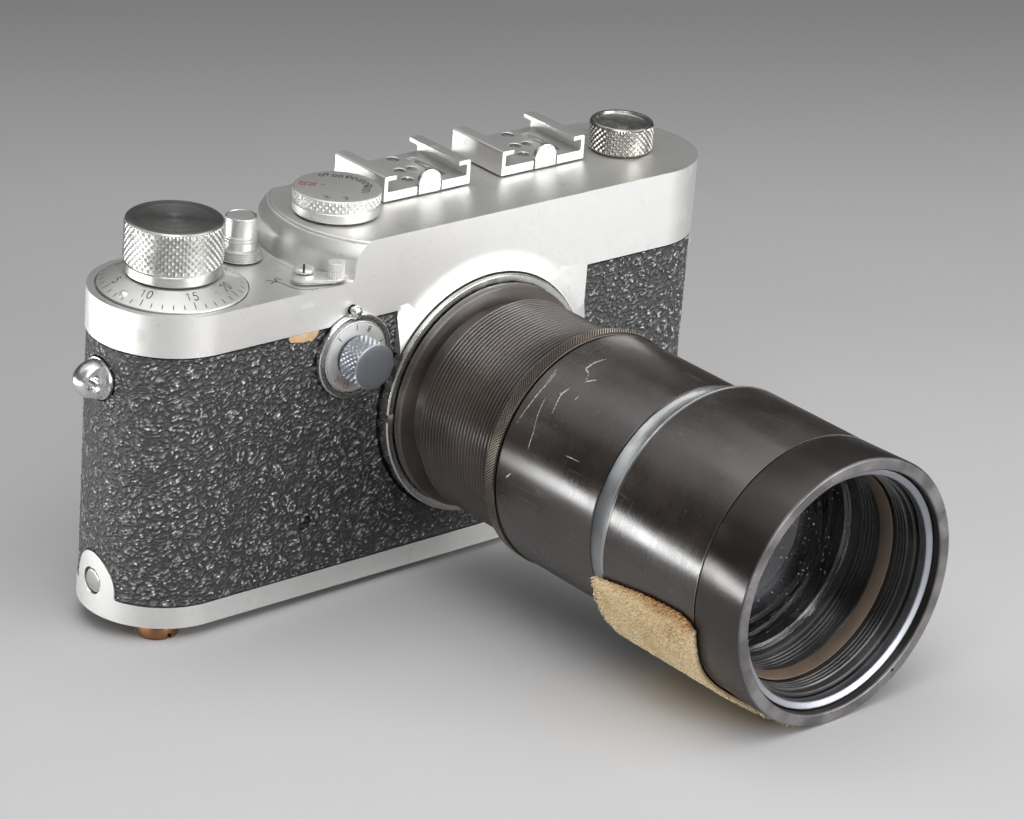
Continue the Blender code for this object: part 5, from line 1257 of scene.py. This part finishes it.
flange = turned([(23.45, 17.6), (23.7, 17.35), (23.7, 14.3), (20.6, 14.3), (20.6, 13.0),
                 (19.6, 13.0), (19.6, 17.3), (22.05, 17.3), (22.15, 17.6)], LENS, "front", 0.05,
                192)
notch = block((LENS_X - 50.0, -35.0, LENS_Z - 0.8), (LENS_X - 22.1, 1.0 - 17.6, LENS_Z + 0.8))
flange = carved(flange, notch)
stand_in("mount_flange", "mount_ring", flange, flange_metal)


def along_the_lens(tree):
    """The direction of the lens axis, across its turning marks."""
    return node(tree, "ShaderNodeCombineXYZ", {1: 1.0}).outputs[0]


def dark_barrel(name, deep, worn, roughness):
    """Black anodised or enamelled tube: brown-black, glossy, rubbed and speckled."""
    finish, tree, where = new_finish(name, deep, roughness)
    cloud = noise(where, 95.0, 5.0)
    speck = noise(where, 1900.0, 2.0)
    turned_marks = spun_grain(where, 3200.0)
    hair = higher(scratches(where, 240.0, (0.2, 0.9, 0.3), 0.006),
        scratches(where, 330.0, (1.0, 0.1, 1.2), 0.006))
    tone = blend(between(cloud, 0.36, 0.66), deep, worn)
    tone = blend(times(between(speck, 0.66, 0.74), 0.35), tone, (0.16, 0.13, 0.11))
    shader(tree, "Base Color", blend(times(hair, 0.30), tone, (0.20, 0.17, 0.15)))
    smear = between(cloud, 0.3, 0.7, roughness - 0.05, roughness + 0.09)
    shader(tree, "Roughness", plus(smear, between(turned_marks, 0.3, 0.7, -0.03, 0.04)))
    shader(tree, "Specular IOR Level", 1.0)
    shader(tree, "Anisotropic", 0.9)
    shader(tree, "Tangent", along_the_lens(tree))
    shader(tree, "Coat Weight", 0.30)
    shader(tree, "Coat Roughness", 0.20)
    relief(tree, plus(times(turned_marks, 0.7), times(speck, 0.5)), 0.004)
    return finish


tube_black = dark_barrel("tube_black", (0.040, 0.031, 0.027), (0.085, 0.066, 0.056), 0.34)

RIB_PITCH = 0.85
RIB_START = 24.1
RIB_COUNT = 46


def rib_tree():
    """Geometry nodes that repeat one thread ridge along the tube."""
    tree, asked = growing("ribs", Geometry="Geometry", Float="Start Pitch", Int="Count",
        Material="Finish")
    line = reckoned("GeometryNodeMeshLine", {"Count": asked["Count"],
        "Start Location": combined(0.0, 0.0, asked["Start"]),
        "Offset": combined(0.0, 0.0, asked["Pitch"])})
    placed = reckoned("GeometryNodeInstanceOnPoints",
        {"Points": line, "Instance": asked["Geometry"]})
    return harvested(tree, placed, asked["Finish"])


def about_zero(mesh):
    """A mesh taken back to millimetres about its own zero."""
    mesh.transform(Matrix.Scale(1 / MM, 4) @ Matrix.Translation(-at(0.0, 0.0, 0.0)))
    return mesh


rib = about_zero(turned([(20.50, -0.30), (20.88, -0.17), (21.0, -0.10), (21.0, 0.10), (20.88, 0.17),
    (20.50, 0.30)], (0.0, 0.0, 0.0), "up", 0.0, 160))
ribs = put(grown(rib_tree(), rib, Start=RIB_START, Pitch=RIB_PITCH, Count=RIB_COUNT,
                 Finish=tube_black), LENS, "front")
tube = turned([(20.55, 64.0), (20.55, 23.75), (18.7, 23.7), (18.7, 19.4), (21.9, 19.4),
               (22.2, 19.15), (22.2, 17.9), (19.3, 17.9), (19.3, 13.0), (17.0, 13.0),
               (17.0, 64.0)], LENS, "front", 0.08, 192)
stand_in("lens_adapter", "threaded_tube", joined(tube, ribs), tube_black)


# ---------------------------------------------------------------------------------------
# The turning barrel: a knurled focusing ring worn to the brass on its crests, two black
# enamelled tubes, a bare brushed step ring between them, and a black front ring.

ring_metal, tree, where = new_finish("worn_knurl", (0.20, 0.175, 0.14), 0.34, 0.9)
crest = between(round_the_lens(where)[0], 22.93 * MM, 23.04 * MM)
patchy = between(noise(where, 110.0, 4.0), 0.34, 0.62, 0.25, 1.0)
shader(tree, "Base Color", blend(times(crest, patchy), (0.085, 0.072, 0.060), (0.80, 0.72, 0.58)))
shader(tree, "Roughness", between(patchy, 0.0, 1.0, 0.40, 0.28))
relief(tree, noise(where, 2600.0), 0.004)

core = turned([(22.4, 44.9), (22.75, 45.0), (22.75, 47.4), (22.4, 47.5), (22.0, 47.5),
               (22.0, 44.9)], LENS, "front", 0.03, 160)
grip = knurled(LENS, "front", 23.06, 0.24, 44.95, 47.45, 250, 4, ring_metal)
stand_in("focus_ring", "focusing_ring", joined(core, grip), ring_metal, 22.0)

barrel_black = dark_barrel("barrel_black", (0.010, 0.007, 0.005), (0.024, 0.016, 0.012), 0.26)
rear = turned([(22.45, 73.9), (22.7, 73.7), (22.7, 48.1), (22.5, 47.8), (21.8, 47.8),
               (21.8, 45.2), (21.3, 45.2), (21.3, 73.9)], LENS, "front", 0.05, 256)
stand_in("barrel_rear", "rear_barrel", rear, barrel_black)


def on_the_barrel(radius):
    """A function that lays flat (forward mm, degrees round the axis) points on a tube."""
    def place(forward, degrees):
        angle = radians(degrees)
        return radius * cos(angle), radius * sin(angle), forward
    return place


def ragged(line, start, width, spread):
    """A scratch's two ragged sides round a line of (forward, degrees) points."""
    mesh = bpy.data.meshes.new("scratch")
    points = []
    steps = 10 * (len(line) - 1)
    for i in range(steps + 1):
        part = min(i // 10, len(line) - 2)
        share = i / 10 - part
        (a, b), (c, d) = line[part], line[part + 1]
        thick = width * (0.35 + 0.65 * sin(pi * i / steps)) * (
            1.0 + 0.45 * sin(start + 2.3 * i) + 0.25 * sin(5.1 * i))
        x = a + (c - a) * share + 0.04 * sin(start + 1.7 * i)
        y = b + (d - b) * share
        points += [(x - thick * spread, y - thick, 0.0), (x + thick * spread, y + thick, 0.0)]
    faces = [(2 * i, 2 * i + 1, 2 * i + 3, 2 * i + 2) for i in range(steps)]
    mesh.from_pydata(points, [], faces)
    return mesh


scratch_metal = worn_metal("scratch_metal", (0.80, 0.74, 0.66), 0.42)
scratch_lines = [
    ([(49.2, 151.6), (49.8, 141.2), (50.1, 130.2), (49.3, 120.6)], 0.24, 0.36),
    ([(50.3, 129.0), (49.9, 123.0), (48.9, 119.5)], 0.24, 0.36),
    ([(54.2, 159.1), (53.9, 151.8), (52.8, 143.9), (52.4, 139.7), (52.0, 134.6)], 0.34, 0.34),
    ([(55.5, 139.9), (55.0, 135.0), (54.5, 130.4), (55.0, 126.0)], 0.50, 0.30),
    ([(54.7, 131.5), (54.0, 129.8)], 0.4, 0.3),
    ([(56.8, 119.6), (55.6, 114.7), (54.1, 113.4), (54.1, 108.0), (54.9, 102.4)], 0.55, 0.36),
    ([(56.6, 119.5), (58.2, 115.8)], 0.35, 0.2),
    ([(57.9, 129.7), (58.1, 127.3)], 0.3, 0.2),
    ([(63.2, 153.4), (66.6, 152.9)], 0.16, 0.3),
    ([(50.5, 176.8), (51.7, 173.3)], 0.2, 0.2),
]
lines = [laid(ragged(line, 1.3 * i, wide, spread), on_the_barrel(22.712))
         for i, (line, wide, spread) in enumerate(scratch_lines)]
fasten("barrel_rear", "barrel_scratches", put(joined(*lines), LENS, "front"), scratch_metal, 35.0)

bare_step, tree, where = new_finish("brushed_step", (0.26, 0.27, 0.28), 0.30, 1.0)
brushed = spun_grain(where, 4200.0, 4.0)
tone = blend(between(brushed, 0.3, 0.7), (0.36, 0.38, 0.40), (0.52, 0.54, 0.56))
shader(tree, "Base Color", blend(between(noise(where, 160.0, 4.0), 0.55, 0.75, 0.0, 0.6), tone,
    (0.10, 0.095, 0.09)))
shader(tree, "Roughness", between(brushed, 0.3, 0.7, 0.24, 0.38))
relief(tree, brushed, 0.006)

step = turned([(22.6, 84.0), (22.6, 79.4), (24.45, 79.4), (24.6, 79.25), (22.75, 74.3),
               (22.6, 74.2), (21.4, 74.2), (21.4, 84.0)], LENS, "front", 0.04, 256)
stand_in("step_ring", "bare_step_ring", step, bare_step)

front = turned([(24.6, 103.1), (24.6, 79.9), (24.4, 79.7), (22.9, 79.7), (22.9, 103.1)], LENS,
               "front", 0.06, 256)
stand_in("barrel_front", "front_barrel", front, barrel_black)

edge_wear = worn_metal("edge_wear", (0.50, 0.46, 0.40), 0.30)
EDGE_R = 24.625             # just proud of the front tube
for name, low, high in (("step_edge_wear", 79.62, 79.80), ("joint_edge_wear", 103.02, 103.14)):
    band = turned([(EDGE_R - 0.3, high), (EDGE_R, high - 0.04), (EDGE_R, low + 0.04),
        (EDGE_R - 0.3, low)], LENS, "front", 0.0, 256)
    fasten("barrel_front", name, band, edge_wear, 35.0)

rim_black, tree, where = new_finish("rim_black", (0.05, 0.045, 0.045), 0.30, 0.3)
face = between(round_the_lens(where)[1], 114.35 * MM, 114.6 * MM)
# The front face gets a patchy painted grey sheen.
painted_face_sheen = times(face, between(noise(where, 170.0, 5.0), 0.38, 0.62, 0.35, 1.0))
shader(tree, "Base Color", blend(painted_face_sheen, (0.016, 0.012, 0.010), (0.17, 0.16, 0.165)))
shader(tree, "Roughness", between(noise(where, 95.0, 4.0), 0.3, 0.7, 0.24, 0.34))
shader(tree, "Specular IOR Level", 1.0)
shader(tree, "Anisotropic", minus(0.9, times(face, 0.9)))
shader(tree, "Tangent", along_the_lens(tree))
relief(tree, spun_grain(where, 3800.0), 0.005)

rim = turned([(24.6, 114.65), (24.95, 114.35), (24.6, 103.4), (22.6, 103.4), (22.6, 98.4),
              (21.4, 98.4), (21.4, 110.85), (22.5, 110.85), (22.5, 114.35), (22.8, 114.65)],
             LENS, "front", 0.10, 256)
rim_notch = block((LENS_X + 23.6, -115.2, LENS_Z + 6.5), (LENS_X + 25.5, -113.9, LENS_Z + 7.5))
DOT_OUT = 23.3              # how far the drilled dot sits from the lens axis
DOT_ANGLE = radians(-53)
dot_centre = (LENS_X + DOT_OUT * cos(DOT_ANGLE), 0.0, LENS_Z + DOT_OUT * sin(DOT_ANGLE))
rim = carved(rim, rim_notch, peg(0.32, 114.2, 116.0, dot_centre, "front", 20))
stand_in("front_ring", "front_rim", rim, rim_black)


# ---------------------------------------------------------------------------------------
# Inside the front: a bright retaining ring, threaded blackened walls, a brown painted
# spacer, and two polished glasses held in the sliding cell.

retainer_metal = worn_metal("retainer_metal", (0.36, 0.375, 0.41), 0.42)
retainer = turned([(22.2, 113.2), (22.2, 111.15), (21.0, 111.15), (21.0, 112.7),
                   (21.15, 112.85), (22.0, 113.2)], LENS, "front", 0.04, 192)
stand_in("front_retainer", "bright_retainer", retainer, retainer_metal)

cell_black = dark_barrel("cell_black", (0.016, 0.015, 0.015), (0.028, 0.026, 0.025), 0.30)


def grooves(count, top, pitch, crest, root, drops):
    """The flat-topped threads of a bore, as points of a profile."""
    points = []
    for i in range(count):
        z = top - pitch * i
        points += [(crest, z), (crest, z - drops[0]), (root, z - drops[1]), (root, z - drops[2])]
    return points


walls = [(20.3, 110.5), (20.3, 109.4), *grooves(4, 109.2, 0.75, 20.62, 20.12, (0.30, 0.42, 0.62)),
    (20.3, 106.1), (20.3, 103.0), *grooves(6, 102.7, 0.85, 20.35, 19.95, (0.35, 0.48, 0.70)),
    (20.3, 97.0), (19.4, 97.0), (19.4, 92.4), (18.2, 92.4), (18.2, 72.0), (21.1, 72.0),
    (21.1, 110.5)]
cell = turned(walls, LENS, "front", 0.03, 192)
stand_in("lens_cell", "threaded_cell", cell, cell_black)

brown_paint, tree, where = new_finish("brown_paint", (0.13, 0.095, 0.070), 0.42)
shader(tree, "Base Color", blend(noise(where, 210.0, 4.0), (0.085, 0.062, 0.046),
    (0.17, 0.125, 0.092)))
shader(tree, "Roughness", between(noise(where, 500.0), 0.3, 0.7, 0.34, 0.50))
relief(tree, noise(where, 2200.0), 0.006)
spacer = turned([(20.0, 105.6), (20.0, 103.2), (19.1, 103.2), (19.7, 105.6)], LENS, "front",
                0.06, 192)
stand_in("spacer_ring", "brown_spacer", spacer, brown_paint)

coated_glass, tree, where = new_finish("coated_glass", (0.92, 0.94, 0.97), 0.02)
dust = between(noise(where, 2100.0, 2.0), 0.70, 0.74)
smear = noise(where, 110.0, 4.0)
shader(tree, "Roughness", between(smear, 0.4, 0.7, 0.015, 0.09))
shader(tree, "IOR", 1.60)
shader(tree, "Transmission Weight", between(dust, 0.0, 1.0, 1.0, 0.25))
shader(tree, "Base Color", blend(dust, (0.90, 0.92, 0.96), (0.55, 0.55, 0.54)))
relief(tree, smear, 0.004)


def element(face, edge, radius, rise):
    """A polished glass, domed in front and flat behind, its rim ground."""
    dome = [(radius * i / 28, face + rise * (1 - (i / 28) ** 2)) for i in range(29)]
    return turned([*dome, (radius, face - edge + 0.1), (radius - 0.1, face - edge),
                   (0.0, face - edge)], LENS, "front", 0.0, 192)


for end, sizes in (("front", (96.1, 3.4, 19.1, 2.4)), ("rear", (77.5, 3.2, 17.9, 1.6))):
    stand_in(end + "_glass", end + "_element", element(*sizes), coated_glass)


# ---------------------------------------------------------------------------------------
# The patch of looped fastening fabric: a woven tan backing stuck round the lower left of
# the barrel, its edges stained by old glue, covered with fine stiff loops.

PATCH_R = 24.95
PATCH_EDGE = [(77.4, -165.4), (83.5, -168.0), (89.7, -170.4), (95.0, -171.6), (100.0, -172.0),
              (102.5, -170.4), (104.0, -167.4), (103.6, -160.0), (102.9, -150.0),
              (102.2, -141.0), (102.4, -133.0), (104.5, -125.0), (108.0, -117.0),
              (111.5, -110.5), (112.6, -105.0), (110.0, -101.0), (104.0, -99.5), (94.0, -99.0),
              (84.0, -99.5), (77.6, -101.0), (76.9, -112.0), (76.6, -128.0), (77.0, -146.0)]
PATCH_FLAT = [(x, radians(a) * PATCH_R) for x, a in PATCH_EDGE]


def frayed(every=0.5, reach=0.16):
    """The patch's outline as (forward, arc length) points with a small ragged wander."""
    points = []
    for (a, b), (c, d) in zip(PATCH_FLAT, PATCH_FLAT[1:] + PATCH_FLAT[:1]):
        steps = max(int(sqrt((c - a) ** 2 + (d - b) ** 2) / every), 1)
        points += [(a + (c - a) * i / steps, b + (d - b) * i / steps) for i in range(steps)]
    return [(x + reach * sin(2.7 * i) * cos(1.1 * i), y + reach * cos(3.9 * i + 1.0))
            for i, (x, y) in enumerate(points)]


def patch_sheet(thick):
    """The backing as a closed thin sheet of small cells, flat, forward by arc length."""
    sheet = about_zero(slab([frayed()], 0.0, thick))
    shape = opened(sheet)
    for i in range(1, 26):
        for along, start in (((1.0, 0.0, 0.0), 76.0 + 1.5 * i), ((0.0, 1.0, 0.0), 1.4 * i - 75.5)):
            bmesh.ops.bisect_plane(shape, geom=shape.verts[:] + shape.edges[:] + shape.faces[:],
                plane_co=Vector(along) * start, plane_no=along)
    return drawn(shape, sheet)


def wrap(mesh, base):
    """Roll a flat patch mesh round the barrel, its own height outwards from a radius."""
    for vertex in mesh.vertices:
        forward, length, height = vertex.co
        angle = length / PATCH_R
        radius = base + height
        vertex.co = (radius * cos(angle), radius * sin(angle), forward)
    return mesh


def loop_tree():
    """Geometry nodes that stand bent loops on the flat backing, in a jittered crowd."""
    tree, asked = growing("loops", Geometry="Geometry", Float="Density Spacing Reach Thread",
        Int="Seed", Material="Finish")
    points = reckoned("GeometryNodeDistributePointsOnFaces",
        {"Mesh": asked["Geometry"], "Distance Min": asked["Spacing"],
        "Density Max": asked["Density"], "Seed": asked["Seed"]}, distribute_method="POISSON")
    ring, section = [
        reckoned("GeometryNodeCurvePrimitiveCircle", {"Resolution": sides, "Radius": radius})
        for sides, radius in ((7, asked["Reach"]), (3, asked["Thread"]))]
    tube = reckoned("GeometryNodeCurveToMesh", {"Curve": ring, "Profile Curve": section})
    upright = reckoned("GeometryNodeTransform", {"Geometry": tube, "Rotation": (pi / 2, 0.0, 0.0),
        "Scale": (0.85, 1.0, 1.35)})
    turn = reckoned("FunctionNodeRandomValue", {0: (-0.55, -0.55, 0.0), 1: (0.55, 0.55, 2 * pi),
        "Seed": asked["Seed"]}, data_type="FLOAT_VECTOR")
    size = node(tree, "FunctionNodeRandomValue", {2: 0.7, 3: 1.25,
        "Seed": plus(asked["Seed"], 5.0)}, data_type="FLOAT").outputs[1]
    crowd = reckoned("GeometryNodeInstanceOnPoints",
        {"Points": points, "Instance": upright, "Rotation": turn, "Scale": size})
    return harvested(tree, crowd, asked["Finish"])


def tan_thread(name, pale, dark):
    """Sun-faded tan nylon with browned, glue-stained edges."""
    finish, tree, where = new_finish(name, pale, 0.75)
    parts = split(vector("SUBTRACT", where, at(*LENS)))
    angle = calc("ARCTAN2", parts[2], parts[0])
    top = between(calc("ABSOLUTE", angle), radians(164.0), radians(170.0))
    ragged_top = plus(top, between(noise(where, 260.0), 0.3, 0.7, -0.35, 0.25))
    stain = higher(between(ragged_top, 0.1, 0.9),
        between(noise(where, 120.0, 4.0), 0.56, 0.72, 0.0, 0.5))
    shader(tree, "Base Color", blend(stain, pale, dark))
    shader(tree, "Roughness", between(noise(where, 900.0), 0.3, 0.7, 0.65, 0.85))
    shader(tree, "Sheen Weight", 0.25)
    relief(tree, noise(where, 3000.0, 2.0), 0.02)
    return finish


backing_cloth = tan_thread("backing_cloth", (0.62, 0.46, 0.27), (0.24, 0.10, 0.03))
loop_thread = tan_thread("loop_thread", (0.92, 0.80, 0.54), (0.74, 0.50, 0.20))

backing = put(wrap(patch_sheet(0.35), PATCH_R), LENS, "front")
backing = stand_in("loop_patch", "patch_backing", welded(backing, 0.000001), backing_cloth, 40.0)

shape = opened(patch_sheet(0.02))
bmesh.ops.delete(shape, geom=[f for f in shape.faces if f.normal.z < 0.9], context="FACES")
density = 5.2
loops = grown(loop_tree(), drawn(shape), Density=density, Spacing=0.30, Seed=7, Thread=0.055,
    Reach=0.34, Finish=loop_thread)
loops = fasten("loop_patch", "patch_loops", put(wrap(loops, PATCH_R + 0.55), LENS, "front"),
    loop_thread, 80.0)


# ---------------------------------------------------------------------------------------
# A torn corner of the skin by the slow dial, where the tan underside and old glue show.

torn_hide, tree, where = new_finish("torn_hide", (0.55, 0.36, 0.18), 0.75)
shader(tree, "Base Color", blend(noise(where, 700.0, 5.0), (0.30, 0.15, 0.06), (0.72, 0.54, 0.33)))
relief(tree, noise(where, 1800.0, 4.0), 0.08)
tear = [(-37.3, 53.25), (-37.4, 52.7), (-36.9, 52.0), (-35.8, 51.9), (-34.9, 51.7),
        (-33.9, 51.5), (-33.0, 51.7), (-32.2, 51.3), (-31.4, 51.9), (-30.9, 52.5),
        (-30.6, 53.25)]
torn = slab([tear], 14.6, 15.06, (0.0, 0.0, 0.0), "front", 0.08)
fasten("leather_cover", "torn_corner", torn, torn_hide, 35.0)


# ---------------------------------------------------------------------------------------
# The table the camera stands on, tilted as the camera leans on the rim of its lens, with
# the soft studio lights and the camera that took the picture.

TABLE_POINTS = (at(8.1, -114.6, 8.15), at(-59.0, -9.2, -2.85), at(52.7, 0.0, -1.65))
table_point = TABLE_POINTS[0]
table_up = (TABLE_POINTS[1] - table_point).cross(TABLE_POINTS[2] - table_point).normalized()
if table_up.z < 0:
    table_up.negate()
TABLE_HALF = 12.0            # metres from the middle of the sheet to each edge

# The sheet's colour darkens away from the view: a painted fall-off of light across the table.
TABLE_NEAR = -0.30           # metres along the view; the sheet darkens away from it
TABLE_FAR = 0.90
TABLE_FALLOFF_GREYS = [(-0.30, 0.615), (0.90, 0.202), (-0.069, 0.604), (0.009, 0.592), (0.089, 0.552),
               (0.167, 0.487), (0.259, 0.441), (0.326, 0.377), (0.383, 0.321), (0.439, 0.277)]

EYE = (-432.26, -522.57, 325.86)
AIM = (-1.11, -35.54, 38.86)
ROLL = 4.601
LENS_MM = 137.08


def seen_from(eye, aim, roll):
    """The camera's turn: looking from one point at another, rolled about the view."""
    forward = (at(*aim) - at(*eye)).normalized()
    right = forward.cross(Vector((0.0, 0.0, 1.0))).normalized()
    above = right.cross(forward)
    turn = radians(roll)
    x = cos(turn) * right + sin(turn) * above
    y = cos(turn) * above - sin(turn) * right
    return Matrix((x, y, -forward)).transposed().to_4x4()


camera_data = bpy.data.cameras.new("camera")
camera_data.lens = LENS_MM
camera_data.sensor_width = 36.0
camera_data.clip_start = 0.01
camera_data.clip_end = 20.0
camera = shown("camera", camera_data)
camera.matrix_world = Matrix.Translation(at(*EYE)) @ seen_from(EYE, AIM, ROLL)
bpy.context.scene.camera = camera

table_finish, tree, where = new_finish("pale_table", (0.55, 0.55, 0.56), 0.7)
# Painted fall-off of light: the sheet's colour runs from pale near the view to dark away from it.
away = node(tree, "ShaderNodeVectorMath", {0: where, 1: (0.6626, 0.7490, 0.0)},
            operation="DOT_PRODUCT").outputs["Value"]
painted_falloff_ramp = node(tree, "ShaderNodeValToRGB", {0: between(away, TABLE_NEAR, TABLE_FAR)})
for i, (reach, grey) in enumerate(TABLE_FALLOFF_GREYS):
    spot = (reach - TABLE_NEAR) / (TABLE_FAR - TABLE_NEAR)
    stop = painted_falloff_ramp.color_ramp.elements[i] if i < 2 else painted_falloff_ramp.color_ramp.elements.new(spot)
    stop.position = spot
    stop.color = (grey, grey, grey * 1.01, 1.0)
mottle = between(noise(where, 14.0, 5.0), 0.3, 0.7, 0.0, 0.06)
shader(tree, "Base Color", blend(mottle, painted_falloff_ramp.outputs[0], (0.25, 0.25, 0.255)))
shader(tree, "Specular IOR Level", 0.25)
relief(tree, noise(where, 900.0), 0.02)

mesh = bpy.data.meshes.new("table")
side = Vector((1.0, 0.0, 0.0)).cross(table_up).normalized()
across = side.cross(table_up).normalized()
corners = [table_point + across * a * TABLE_HALF + side * b * TABLE_HALF
           for a, b in ((-1, -1), (1, -1), (1, 1), (-1, 1))]
mesh.from_pydata(corners, [], [(0, 1, 2, 3)])
mesh.materials.append(table_finish)
table = shown("table", mesh)

world = bpy.data.worlds.new("studio")
world.use_nodes = True
tree = world.node_tree
height = split(node(tree, "ShaderNodeTexCoord").outputs["Generated"])[2]
sky = tree.nodes["Background"]
feed(sky.inputs["Color"], (1.0, 1.0, 1.0, 1.0))
feed(sky.inputs["Strength"], between(height, 0.35, 0.70, 0.08, 0.30))
bpy.context.scene.world = world


def soft_light(name, place, aim, wide, tall, level):
    """A soft box of an even brightness, aimed at a point of the camera."""
    lamp = bpy.data.lights.new(name, "AREA")
    lamp.shape = "RECTANGLE"
    lamp.size = wide
    lamp.size_y = tall
    lamp.energy = level * pi * wide * tall
    holder = shown(name, lamp)
    way = at(*aim) - at(*place)
    holder.matrix_world = (Matrix.Translation(at(*place))
                           @ way.to_track_quat("-Z", "Y").to_matrix().to_4x4())
    holder.visible_camera = False
    return holder


soft_light("overhead_box", (0.0, 137.0, 1223.0), (0.0, -30.0, 35.0), 0.90, 0.90, 1.25)
soft_light("behind_box", (-299.0, 642.0, 852.0), (0.0, -30.0, 35.0), 0.80, 0.60, 0.50)
soft_light("front_left_box", (-390.0, -463.0, 968.0), (0.0, -30.0, 35.0), 0.75, 0.65, 3.2)
soft_light("front_right_box", (536.0, -647.0, 771.0), (0.0, -30.0, 35.0), 0.90, 0.60, 1.5)
soft_light("low_front_box", (300.0, -1030.0, 300.0), (0.0, -15.0, 40.0), 0.85, 0.42, 9.0)
soft_light("low_right_box", (520.0, -860.0, 120.0), (-30.0, -15.0, 40.0), 0.90, 0.26, 2.6)
soft_light("left_box", (-821.0, -413.0, 458.0), (0.0, -30.0, 35.0), 0.60, 0.60, 0.30)
# A narrow strip puts the long bright line on the barrel; the table is left out of its light.
strip = soft_light("left_strip", (-260.0, 85.0, 12.0), (-12.0, -80.0, 36.0), 0.30, 0.045, 13.0)
spared = bpy.data.collections.new("not_lit_by_the_strip")
spared.objects.link(table)
spared.collection_objects[0].light_linking.link_state = "EXCLUDE"
strip.light_linking.receiver_collection = spared

bpy.context.scene.view_settings.view_transform = "Standard"
